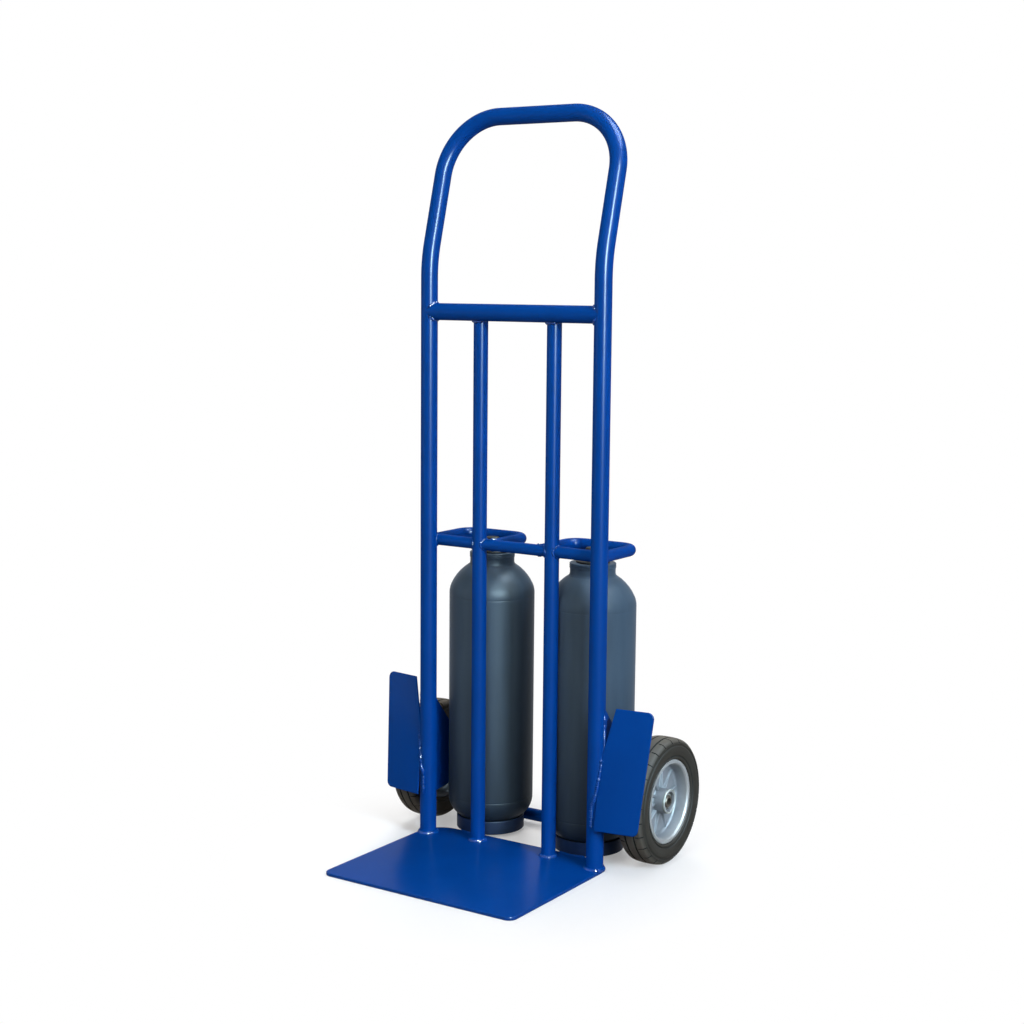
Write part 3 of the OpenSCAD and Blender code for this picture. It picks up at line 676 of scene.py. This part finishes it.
PLUG_TALL = 24.0
CUP_WALL = 3.0
CUP_FLOOR = (14.0, 17.0)


def seam_rows(z):
    """A pressed seam: a shallow rounded crease that stays inside the straight wall."""
    lower = [(0.0, -2.8), (0.0, -1.0), (0.06, -0.6), (SEAM_DEEP, -0.2)]
    crease = lower + [(deep, -up) for deep, up in reversed(lower)]
    return [(SHELL_R - deep, z + up) for deep, up in crease]


def shell_section():
    """Half section (radius, z) from the bottom's middle up to the crown."""
    line = [(AXIS_R, BASE_Z)]
    line += [(SHELL_R - BASE_K + BASE_K * math.sin(a), BASE_Z + BASE_K - BASE_K * math.cos(a))
             for a in (math.radians(5 * k) for k in range(0, 19))]
    for z in SEAMS:
        line += seam_rows(z)
    slope = math.atan2(SHELL_R - DOME_K, DOME_Z - (CROWN_Z - CROWN_R))
    line += [(SHELL_R - DOME_K + DOME_K * math.cos(a), DOME_Z + DOME_K * math.sin(a))
             for a in ((math.pi / 2 - slope) * k / 14 for k in range(0, 15))]
    line += [(CROWN_R * math.sin(a), CROWN_Z - CROWN_R + CROWN_R * math.cos(a))
             for a in (slope * (1 - k / 10) for k in range(1, 10))]
    return line + [(AXIS_R, CROWN_Z)]


def neck_section():
    """Closed section (radius, z) of the neck ring: grooved lip on a waist that flares into the dished top."""
    out = WAIST_R + FLARE_R
    near = CROWN_R + FLARE_R - 0.4
    mid_z = CROWN_Z - CROWN_R + math.sqrt(near * near - out * out)
    foot = math.atan2(out, mid_z - (CROWN_Z - CROWN_R))
    flare = []
    for k in range(0, 11):
        angle = math.pi + (math.pi / 2 - foot) * (1 - k / 10)
        flare.append((out + FLARE_R * math.cos(angle), mid_z + FLARE_R * math.sin(angle)))
    low = flare[0]
    under = NECK_TOP - LIP_TALL
    line = flare + [(WAIST_R, under - 1.2), (WAIST_R + 0.1, under - 0.2), (WAIST_R + 0.4, under + 0.6)]
    line += [(LIP_R_NECK - 0.3, under + 1.3), (LIP_R_NECK - 0.06, under + 1.7), (LIP_R_NECK, under + 2.2)]
    for k in (1, 0):
        z = NECK_TOP - 0.75 * RIDGE_PITCH - RIDGE_PITCH * k
        line += [(LIP_R_NECK - deep, z + up)
                 for deep, up in ((0.0, -0.9), (RIDGE_DEEP, -0.5), (RIDGE_DEEP, 0.5), (0.0, 0.9))]
    line += [(LIP_R_NECK - 0.1, NECK_TOP - 0.9), (LIP_R_NECK - 1.0, NECK_TOP), (NECK_BORE_R, NECK_TOP)]
    return line + [(NECK_BORE_R, CROWN_Z - 0.6), (low[0] - 14, low[1] + 1.0)]


def plug_section():
    """Half section (radius, z) of the plug: stem in the neck, flange, groove and domed grip."""
    z0 = NECK_TOP
    flange = z0 + FLANGE_T
    top = z0 + PLUG_TALL
    return rounded([
        (AXIS_R, z0 - STEM_DEEP, 0), (STEM_R, z0 - STEM_DEEP, 1.0), (STEM_R, z0, 0.2),
        (FLANGE_R, z0, 0.8), (FLANGE_R, flange, 1.2), (PLUG_R + 1.5, flange, 1.5), (PLUG_R, z0 + 6, 1.0),
        (PLUG_R - 0.8, z0 + 12, 0.8), (PLUG_R - 0.8, z0 + 15, 0.8), (PLUG_R, z0 + 16, 0.6),
        (PLUG_R, top, 2.4), (AXIS_R, top, 0),
    ], closed=False)


def cup_section():
    """Closed section (radius, z) of a foot cup: rolled rim, straight wall and a floor inside."""
    low, high = corners_mm("foot_cup_right")
    out = (high.x - low.x) / 2
    inside = out - CUP_WALL
    under, floor = CUP_FLOOR
    return rounded([
        (AXIS_R, floor, 0), (inside, floor, 1.5), (inside, high.z, 1.3), (out, high.z, 1.6),
        (out, low.z, 0.8), (inside, low.z, 0.6), (inside, under, 1.0), (AXIS_R, under, 0),
    ])


def foot_cup(side):
    """Rolled cup that one cylinder stands in."""
    points, faces = turned(cup_section(), 112, True)
    name = "foot_cup_" + side
    points = on_cylinder(side, points)
    piece = new_piece("rolled_" + name, points, faces, "frame", CUP_PAINT, 30)
    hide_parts(name)


def cylinder(side):
    """Shell, neck ring and plug of one cylinder."""
    body = "cylinder_" + side
    for made, node, section, closed, slot in (
        ("pressed_shell_", "cylinder_shell_", shell_section(), False, "slate_paint"),
        ("turned_neck_ring_", "neck_ring_", neck_section(), True, "slate_paint"),
        ("moulded_neck_plug_", "neck_plug_", plug_section(), False, "black_plug"),
    ):
        points, faces = turned(section, 128, closed)
        points = on_cylinder(side, points)
        piece = new_piece(made + side, points, faces, body, FINISHES[slot], 30)
        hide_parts(node + side)


for side in SIDES:
    cylinder(side)
    foot_cup(side)


# Frame tubes

BEND_Z = 910.0
LEAN = math.radians(15)
LEAN_R = 215.0
HANDLE_LEN = 203.0
CORNER_R = 92.0
BOW_MID = 30.0  # distance of the bow's last rings from the trolley's middle
MAIN_SIDES = 64
THIN_SIDES = 56


def swept(line, radius, around):
    """Points and faces of a round bar along a line of points; the ring is carried on without twist."""
    points = []
    side = Vector((1, 0, 0))
    for i, here in enumerate(line):
        way = (line[min(i + 1, len(line) - 1)] - line[max(i - 1, 0)]).normalized()
        side = (side - way * side.dot(way)).normalized()
        up = way.cross(side)
        for k in range(around):
            angle = 2 * math.pi * k / around
            points.append(here + (side * math.cos(angle) + up * math.sin(angle)) * radius)
    faces = rings_to_faces(len(line), around, False)
    faces += [tuple(range(around)), tuple(range((len(line) - 1) * around, len(line) * around))]
    return points, faces


def frame_tube_line():
    """Middle line of the bent frame tube: right upright, lean, handle bow and down the left upright."""
    half = [Vector((UPRIGHT_X, UPRIGHT_Y, PLATE_T + (BEND_Z - PLATE_T) * k / 12)) for k in range(12)]
    for k in range(16):
        a = LEAN * k / 15
        back = LEAN_R * (1 - math.cos(a))
        half.append(Vector((UPRIGHT_X, UPRIGHT_Y + back, BEND_Z + LEAN_R * math.sin(a))))
    foot = Vector((0, half[-1].y, half[-1].z))
    lean = Vector((0, math.sin(LEAN), math.cos(LEAN)))
    straight = HANDLE_LEN - CORNER_R
    half += [foot + lean * straight * k / 4 + Vector((UPRIGHT_X, 0, 0)) for k in range(1, 4)]
    for k in range(46):
        a = math.radians(2 * k)
        out = UPRIGHT_X - CORNER_R + CORNER_R * math.cos(a)
        half.append(foot + lean * (straight + CORNER_R * math.sin(a)) + Vector((out, 0, 0)))
    half.append(foot + lean * HANDLE_LEN + Vector((BOW_MID, 0, 0)))
    return half + [Vector((-p.x, p.y, p.z)) for p in reversed(half)]


def frame_tubes():
    """Drawn tubes: the bent main tube, two inner tubes and the cross tube, saddle-cut at their ends."""
    points, faces = swept(frame_tube_line(), TUBE_R, MAIN_SIDES)
    piece = new_piece("bent_main_frame_tube", points, faces, "frame", TUBE_ENAMEL)
    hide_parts("main_frame_tube")
    set_back = INNER_Y - UPRIGHT_Y
    around = [2 * math.pi * k / THIN_SIDES for k in range(THIN_SIDES)]
    up, across = (0.0, 0.25, 0.5, 0.75, 1.0), (-1.0, -0.5, 0.0, 0.5, 1.0)
    ends = len(up) - 1
    faces = rings_to_faces(len(up), THIN_SIDES, False)
    faces += [tuple(range(THIN_SIDES)), tuple(range(ends * THIN_SIDES, (ends + 1) * THIN_SIDES))]
    for side, s in SIDES.items():
        points = []
        for share in up:
            for a in around:
                off = min(TUBE_R, abs(set_back + INNER_R * math.sin(a)))
                top = CROSS_Z - math.sqrt(TUBE_R**2 - off**2)
                points.append((s * INNER_X + INNER_R * math.cos(a), INNER_Y + INNER_R * math.sin(a),
                               PLATE_T + (top - PLATE_T) * share))
        piece = new_piece("saddled_inner_tube_" + side, points, faces, "frame", TUBE_ENAMEL)
        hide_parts("inner_tube_" + side)
    points = []
    for share in across:
        for a in around:
            end = UPRIGHT_X - TUBE_R * abs(math.sin(a))
            points.append((end * share, UPRIGHT_Y + TUBE_R * math.cos(a), CROSS_Z + TUBE_R * math.sin(a)))
    piece = new_piece("saddled_upper_cross_tube", points, faces, "frame", TUBE_ENAMEL)
    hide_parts("upper_cross_tube")


frame_tubes()


# Toe plate and wheel guards

PLATE_FRONT_R = 14.0
PLATE_BACK_R = 44.0
PLATE_WORN = 1.0


def toe_plate():
    """Sheared plate, small corners in front and wide ones round the uprights, its edges dressed."""
    low, high = corners_mm("toe_plate")
    outline = rounded([
        (low.x, low.y, PLATE_FRONT_R), (high.x, low.y, PLATE_FRONT_R),
        (high.x, high.y, PLATE_BACK_R), (low.x, high.y, PLATE_BACK_R),
    ], step=5)
    points, faces = dressed_plate(outline, PLATE_T, PLATE_WORN)
    points = [(u, v, w + PLATE_T / 2) for u, v, w in points]
    piece = new_piece("dressed_toe_plate", points, faces, "frame", PLATE_ENAMEL, 25)
    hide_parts("toe_plate")


GUARD_T = 3.0
GUARD_GAP = 3.0
GUARD_LEAN = math.radians(6.5)
GUARD_SWEEP = math.radians(8)
GUARD_BOTTOM = 71.0
GUARD_TOP = 261.0
GUARD_NOTCH = 184.0
GUARD_REACH_LOW = 65.0
GUARD_REACH_TOP = 82.0
GUARD_SLANT = 19.0
GUARD_R = 10.0
GUARD_WORN = 1.1
TYRE_SHOULDER = 10.0
GUARD_X = UPRIGHT_X + TUBE_R
GUARD_Y = (WHEEL.y - (WHEEL_R + GUARD_GAP + GUARD_T / 2) / math.cos(GUARD_LEAN)
           - (WHEEL.x + TYRE_HALF - TYRE_SHOULDER - GUARD_X) * math.tan(GUARD_SWEEP))


def on_guard(s, u, v, w):
    """Point on a guard: u outwards, v up the leaning sheet, w to the front."""
    back = v * math.sin(GUARD_LEAN) - w * math.cos(GUARD_LEAN)
    rise = v * math.cos(GUARD_LEAN) + w * math.sin(GUARD_LEAN)
    out = u * math.cos(GUARD_SWEEP) - back * math.sin(GUARD_SWEEP)
    back = u * math.sin(GUARD_SWEEP) + back * math.cos(GUARD_SWEEP)
    return s * (GUARD_X + out), GUARD_Y + back, WHEEL.z + rise


def wheel_guard(side):
    """Sheet guard in front of a wheel: leaning and swept back, corners rounded, edges dressed."""
    s = SIDES[side]
    rise = 1 / math.cos(GUARD_LEAN)
    bottom, top, notch = ((z - WHEEL.z) * rise for z in (GUARD_BOTTOM, GUARD_TOP, GUARD_NOTCH))
    outline = rounded([
        (-6.0, bottom, 0), (GUARD_REACH_LOW, bottom, GUARD_R), (GUARD_REACH_TOP, top, GUARD_R),
        (GUARD_SLANT, top, 1.5), (0.0, notch, 0.5), (-2.0, notch, 0),
    ], step=6)
    points, faces = dressed_plate(outline, GUARD_T, GUARD_WORN)
    points = [on_guard(s, u, v, w) for u, v, w in points]
    name = "wheel_guard_" + side
    piece = new_piece("sheared_" + name, points, faces, "frame", FINISHES["blue_enamel"], 25)
    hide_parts(name)


for side in SIDES:
    wheel_guard(side)
toe_plate()


# Weld beads

RIPPLE = 3.4  # length of one ripple
RIPPLE_HIGH = 0.1  # its rise, as a share of the bead's radius
BEAD_SIDES = 8
RIPPLE_RINGS = 4  # rings in one ripple, and rings over which an open end tapers
END_SIZE = 0.35  # size of an open end, as a share of the bead's
EVEN, UNEVEN = 0.09, 0.3  # how far a bead's size wanders
SEAM_R = 2.7  # the guards' and brackets' outer seams are laid by hand and more uneven than the rest
FOOT_BEAD = 3.9
INNER_FOOT_BEAD = 4.0
CROSS_BEAD = 2.6
CROSS_OPEN = 0.44  # radians that the cross tube's two beads stay clear of its front and back
SADDLE_BEAD = 3.2
TOP_BEAD = 1.8
BAR_BEAD = 1.9
BAR_END_BEAD = 2.0
LOOP_BEAD = 1.6
BRACKET_BEAD = 1.8
CUP_BEAD = 1.9
CUP_ARC = math.radians(25)
CUP_R = 56.0
COLLAR_R = 15.0
SEAM_FROM, SEAM_TO, SEAM_PARTS = -28.0, 84.0, 36
BRACKET_Z = (70, 110, 150, 200, 250)
RUN_OUT = 0.2  # a bead that runs out on a tube's side ends this far inside its radius
shake = random.Random(41)


def circle(count=72, start=0.0, end=2 * math.pi):
    """Angles from start to end in even steps, both ends included."""
    return [start + (end - start) * k / count for k in range(count + 1)]


def bead_rings(line, radius, closed, uneven):
    """Rings of a rippled bead along a line of points; uneven is how far its size wanders."""
    fine = []
    for a, b in zip(line, line[1:]):
        a, b = Vector(a), Vector(b)
        parts = max(1, int((b - a).length / (RIPPLE / RIPPLE_RINGS)))
        fine += [a.lerp(b, k / parts) for k in range(parts)]
    if not closed:
        fine.append(Vector(line[-1]))
    count = len(fine)
    run = 0.0
    points = []
    lump = 1.0
    for i, here in enumerate(fine):
        before = fine[i - 1] if i or closed else here
        after = fine[(i + 1) % count] if i + 1 < count or closed else here
        way = (after - before).normalized() if (after - before).length > 1e-6 else Vector((0, 0, 1))
        side = way.orthogonal().normalized()
        up = way.cross(side)
        run += (here - before).length
        if i % RIPPLE_RINGS == 0:
            lump = 1.0 + shake.uniform(-uneven, uneven)
        size = radius * lump * (1.0 + RIPPLE_HIGH * math.sin(2 * math.pi * run / RIPPLE))
        if not closed:
            size *= min(1.0, END_SIZE + (1 - END_SIZE) * min(i, count - 1 - i) / RIPPLE_RINGS)
        for k in range(BEAD_SIDES):
            angle = 2 * math.pi * k / BEAD_SIDES
            points.append(here + (side * math.cos(angle) + up * math.sin(angle)) * size)
    faces = rings_to_faces(count, BEAD_SIDES, closed)
    if not closed:
        faces += [tuple(range(BEAD_SIDES)), tuple(range((count - 1) * BEAD_SIDES, count * BEAD_SIDES))]
    return points, faces


def tube_weld_lines(s):
    """Lines of the tubes' welds on one side: (points, bead radius, closed)."""
    lines = []
    ux, ix = s * UPRIGHT_X, s * INNER_X
    for x, y, r, bead in ((ux, UPRIGHT_Y, TUBE_R, FOOT_BEAD), (ix, INNER_Y, INNER_R, INNER_FOOT_BEAD)):
        lines.append(([(x + r * math.cos(a), y + r * math.sin(a), PLATE_T) for a in circle()], bead, True))
    for start in (CROSS_OPEN, math.pi + CROSS_OPEN):
        lines.append(([
            (ux - s * TUBE_R * abs(math.sin(a)), UPRIGHT_Y + TUBE_R * math.cos(a),
             CROSS_Z + TUBE_R * math.sin(a))
            for a in circle(40, start, start + math.pi - 2 * CROSS_OPEN)], CROSS_BEAD, False))
    set_back = INNER_Y - UPRIGHT_Y
    reach = math.asin((TUBE_R - RUN_OUT - set_back) / INNER_R)
    lines.append(([
        (ix + INNER_R * math.cos(a), INNER_Y + INNER_R * math.sin(a),
         CROSS_Z - math.sqrt(TUBE_R**2 - (set_back + INNER_R * math.sin(a)) ** 2))
        for a in circle(40, math.pi - reach, 2 * math.pi + reach)], SADDLE_BEAD, False))
    wide = INNER_R * math.cos(reach)
    lines.append(([(x, UPRIGHT_Y + TUBE_R, CROSS_Z) for x in (ix - wide, ix + wide)], TOP_BEAD, False))
    return lines


def bar_weld_lines(s):
    """Lines of the welds of the mid bar and the keeper loops on one side."""
    lines = []
    ux, ix, lx = s * UPRIGHT_X, s * INNER_X, s * LOOP_X
    set_back = INNER_Y - UPRIGHT_Y
    for t in (-1, 1):
        lines.append(([
            (ix + t * math.sqrt(INNER_R**2 - (BAR_R * math.cos(a)) ** 2), INNER_Y + BAR_R * math.cos(a),
             BAR_Z + BAR_R * math.sin(a)) for a in circle(56)], BAR_BEAD, True))
    open_at = math.acos((TUBE_R - RUN_OUT - set_back) / BAR_R)
    lines.append(([
        (ux - s * math.sqrt(TUBE_R**2 - (set_back + BAR_R * math.cos(a)) ** 2),
         INNER_Y + BAR_R * math.cos(a), BAR_Z + BAR_R * math.sin(a))
        for a in circle(36, open_at, 2 * math.pi - open_at)], BAR_END_BEAD, False))
    lines.append(([
        (ux + BAR_R * math.cos(a), UPRIGHT_Y + math.sqrt(TUBE_R**2 - (BAR_R * math.cos(a)) ** 2),
         BAR_Z + BAR_R * math.sin(a)) for a in circle(56)], BAR_END_BEAD, True))
    lines.append(([
        (lx + BAR_R * math.cos(a), INNER_Y + BAR_R * abs(math.cos(a)), BAR_Z + BAR_R * math.sin(a))
        for a in circle(56)], LOOP_BEAD, True))
    return lines


def plate_weld_lines(s):
    """Lines of the welds on guards, brackets, axles and cups on one side."""
    lines = []
    seam = []
    for k in range(SEAM_PARTS + 1):
        v = SEAM_FROM + (SEAM_TO - SEAM_FROM) * k / SEAM_PARTS
        _, y, z = on_guard(1, 0.0, v, GUARD_T / 2)
        off = max(-TUBE_R, min(TUBE_R, y - UPRIGHT_Y))
        seam.append((s * (UPRIGHT_X + math.sqrt(TUBE_R**2 - off**2)), max(y, UPRIGHT_Y - TUBE_R), z))
    lines.append((seam, SEAM_R, False))
    inner_face, outer_face = (corner.x for corner in corners_mm("axle_bracket_right"))
    for face, bead in ((inner_face, BRACKET_BEAD), (outer_face, SEAM_R)):
        off = math.sqrt(TUBE_R**2 - (face - UPRIGHT_X) ** 2)
        lines.append(([(s * face, UPRIGHT_Y + off, z) for z in BRACKET_Z], bead, False))
    lines.append(([
        (s * outer_face, WHEEL.y + COLLAR_R * math.cos(a), WHEEL.z + COLLAR_R * math.sin(a))
        for a in circle(56)], BRACKET_BEAD, True))
    lines.append(([
        (s * SHELL.x + CUP_R * math.cos(a), SHELL.y + CUP_R * math.sin(a), PLATE_T)
        for a in circle(24, -math.pi / 2 - CUP_ARC, -math.pi / 2 + CUP_ARC)], CUP_BEAD, False))
    return lines


def weld_beads():
    """All weld beads of the frame, as one piece for the tubes, one for the bars and one for the sheet."""
    for name, lines_for, enamel in (
        ("tube_weld_beads", tube_weld_lines, WELD_ENAMEL),
        ("bar_weld_beads", bar_weld_lines, SEAM_ENAMEL),
        ("plate_weld_beads", plate_weld_lines, SEAM_ENAMEL),
    ):
        points, faces = [], []
        for s in (1, -1):
            for line, radius, closed in lines_for(s):
                more, new = bead_rings(line, radius, closed, UNEVEN if radius == SEAM_R else EVEN)
                faces += [tuple(len(points) + k for k in face) for face in new]
                points += more
        new_piece(name, points, faces, "frame", enamel, 60)


weld_beads()


# Floor, light and camera, all in metres

FLOOR_HALF = 6.0
FLOOR_DROP = 0.0004
SHADOW_FROM, SHADOW_TO = 0.18, 0.44  # distances from the middle over which the floor turns into background
ROOM_LIGHT = 0.14
AIM = Vector((0, 0, 0.5))


def pale_floor():
    """Plain white sweep that takes pale contact shadows; far from the object it turns into background."""
    material, tree, at = new_material("matt_white_sweep")
    speck = add(tree, "TexNoise", {"Vector": at, "Scale": per_mm(40), "Detail": 2.0}).outputs["Fac"]
    tone = add(tree, "Mix", {
        FACTOR: speck, FIRST: linear("#F4F4F4"), SECOND: linear("#F8F8F8"),
    }, data_type="RGBA")
    far = add(tree, "VectorMath", {0: at}, operation="LENGTH").outputs["Value"]
    edge = add(tree, "MapRange", {
        "Value": far, "From Min": SHADOW_FROM, "From Max": SHADOW_TO, "To Min": 0.3, "To Max": 1.0,
    }, interpolation_type="SMOOTHSTEP").outputs["Result"]
    matt = add(tree, "BsdfDiffuse", {"Color": tone.outputs[BLEND]}).outputs["BSDF"]
    white = add(tree, "Emission", {"Strength": 1.0}).outputs["Emission"]
    blend = add(tree, "MixShader", {0: edge, 1: matt, 2: white}).outputs["Shader"]
    add(tree, "OutputMaterial", {"Surface": blend})
    corners = [(x * FLOOR_HALF, y * FLOOR_HALF, 0) for x, y in ((-1, -1), (1, -1), (1, 1), (-1, 1))]
    mesh = bpy.data.meshes.new("floor_sweep")
    mesh.from_pydata(corners, [], [(0, 1, 2, 3)])
    floor = bpy.data.objects.new("floor_sweep", mesh)
    floor.location.z = -FLOOR_DROP
    floor.visible_diffuse = False  # no glare from the floor on the paint, as on a small dark turntable
    scene.collection.objects.link(floor)
    floor.data.materials.append(material)


def studio_world():
    """Soft room light; white behind the object for the camera and for reflections."""
    world = bpy.data.worlds.new("white_studio")
    scene.world = world
    world.use_nodes = True
    tree = world.node_tree
    tree.nodes.clear()
    path = add(tree, "LightPath")
    seen = add(tree, "Math", {
        0: path.outputs["Is Camera Ray"], 1: path.outputs["Is Glossy Ray"],
    }, operation="ADD")
    seen = add(tree, "Math", {
        0: seen.outputs[0], 1: path.outputs["Is Transmission Ray"],
    }, operation="ADD", use_clamp=True)
    level = add(tree, "MapRange", {"Value": seen.outputs[0], "To Min": ROOM_LIGHT, "To Max": 1.0})
    sky = add(tree, "Background", {"Color": (1.0, 1.0, 1.0, 1.0), "Strength": level.outputs["Result"]})
    add(tree, "OutputWorld", {"Surface": sky.outputs["Background"]})


def lamp(name, azimuth, elevation, away, size, power, tint="#FFFFFF", seen_in_gloss=True,
         lights_matt=True):
    """Soft box aimed at the trolley's middle; azimuth 0 is in front and 90 on the right."""
    turn, tilt = math.radians(azimuth), math.radians(elevation)
    place = AIM + away * Vector((
        math.cos(tilt) * math.sin(turn), -math.cos(tilt) * math.cos(turn), math.sin(tilt)))
    data = bpy.data.lights.new(name, "AREA")
    data.shape = "RECTANGLE"
    data.size, data.size_y = size
    data.energy = power
    data.color = linear(tint)[:3]
    thing = bpy.data.objects.new(name, data)
    thing.location = place
    thing.rotation_mode = "QUATERNION"
    thing.rotation_quaternion = (AIM - place).to_track_quat("-Z", "Y")
    thing.visible_camera = False
    thing.visible_glossy = seen_in_gloss
    thing.visible_diffuse = lights_matt
    scene.collection.objects.link(thing)


def camera():
    """Camera at the photograph's view: place in metres, turn, tilt and roll in degrees, lens in mm."""
    place = (1.4853, -2.2135, 0.9039)
    yaw, tilt, roll = (math.radians(a) for a in (33.531, 7.508, -0.505))
    right = Vector((math.cos(yaw), math.sin(yaw), 0))
    ahead = Vector((-math.sin(yaw) * math.cos(tilt), math.cos(yaw) * math.cos(tilt), -math.sin(tilt)))
    down = ahead.cross(right)
    across = right * math.cos(roll) + down * math.sin(roll)
    fall = down * math.cos(roll) - right * math.sin(roll)
    data = bpy.data.cameras.new("photo_camera")
    data.lens = 61.09
    data.sensor_width = 36.0
    data.sensor_fit = "HORIZONTAL"
    thing = bpy.data.objects.new("photo_camera", data)
    turn = Matrix((across, -fall, -ahead)).transposed().to_4x4()
    thing.matrix_world = Matrix.Translation(place) @ turn
    scene.collection.objects.link(thing)
    scene.camera = thing


pale_floor()
studio_world()
lamp("right_soft_box", 71, 20, 3.2, (1.0, 1.6), 104, tint="#D6EAFF", seen_in_gloss=False)
lamp("front_soft_box", 10, 34, 3.3, (1.2, 1.2), 40, tint="#FFF6EC", seen_in_gloss=False)
lamp("left_soft_box", -50, 6, 3.3, (1.4, 1.5), 18)
lamp("top_soft_box", 0, 86, 3.0, (2.2, 2.2), 30, seen_in_gloss=False)
lamp("back_soft_box", 212, 34, 3.3, (1.6, 1.6), 70, seen_in_gloss=False)
lamp("tall_strip", 54, 21, 3.1, (0.34, 1.7), 2000, tint="#CCF0FF", lights_matt=False)
lamp("overhead_box", 112, 66, 3.0, (2.0, 1.6), 1000, tint="#D4EEFF", lights_matt=False)
camera()
scene.view_settings.view_transform = "Standard"
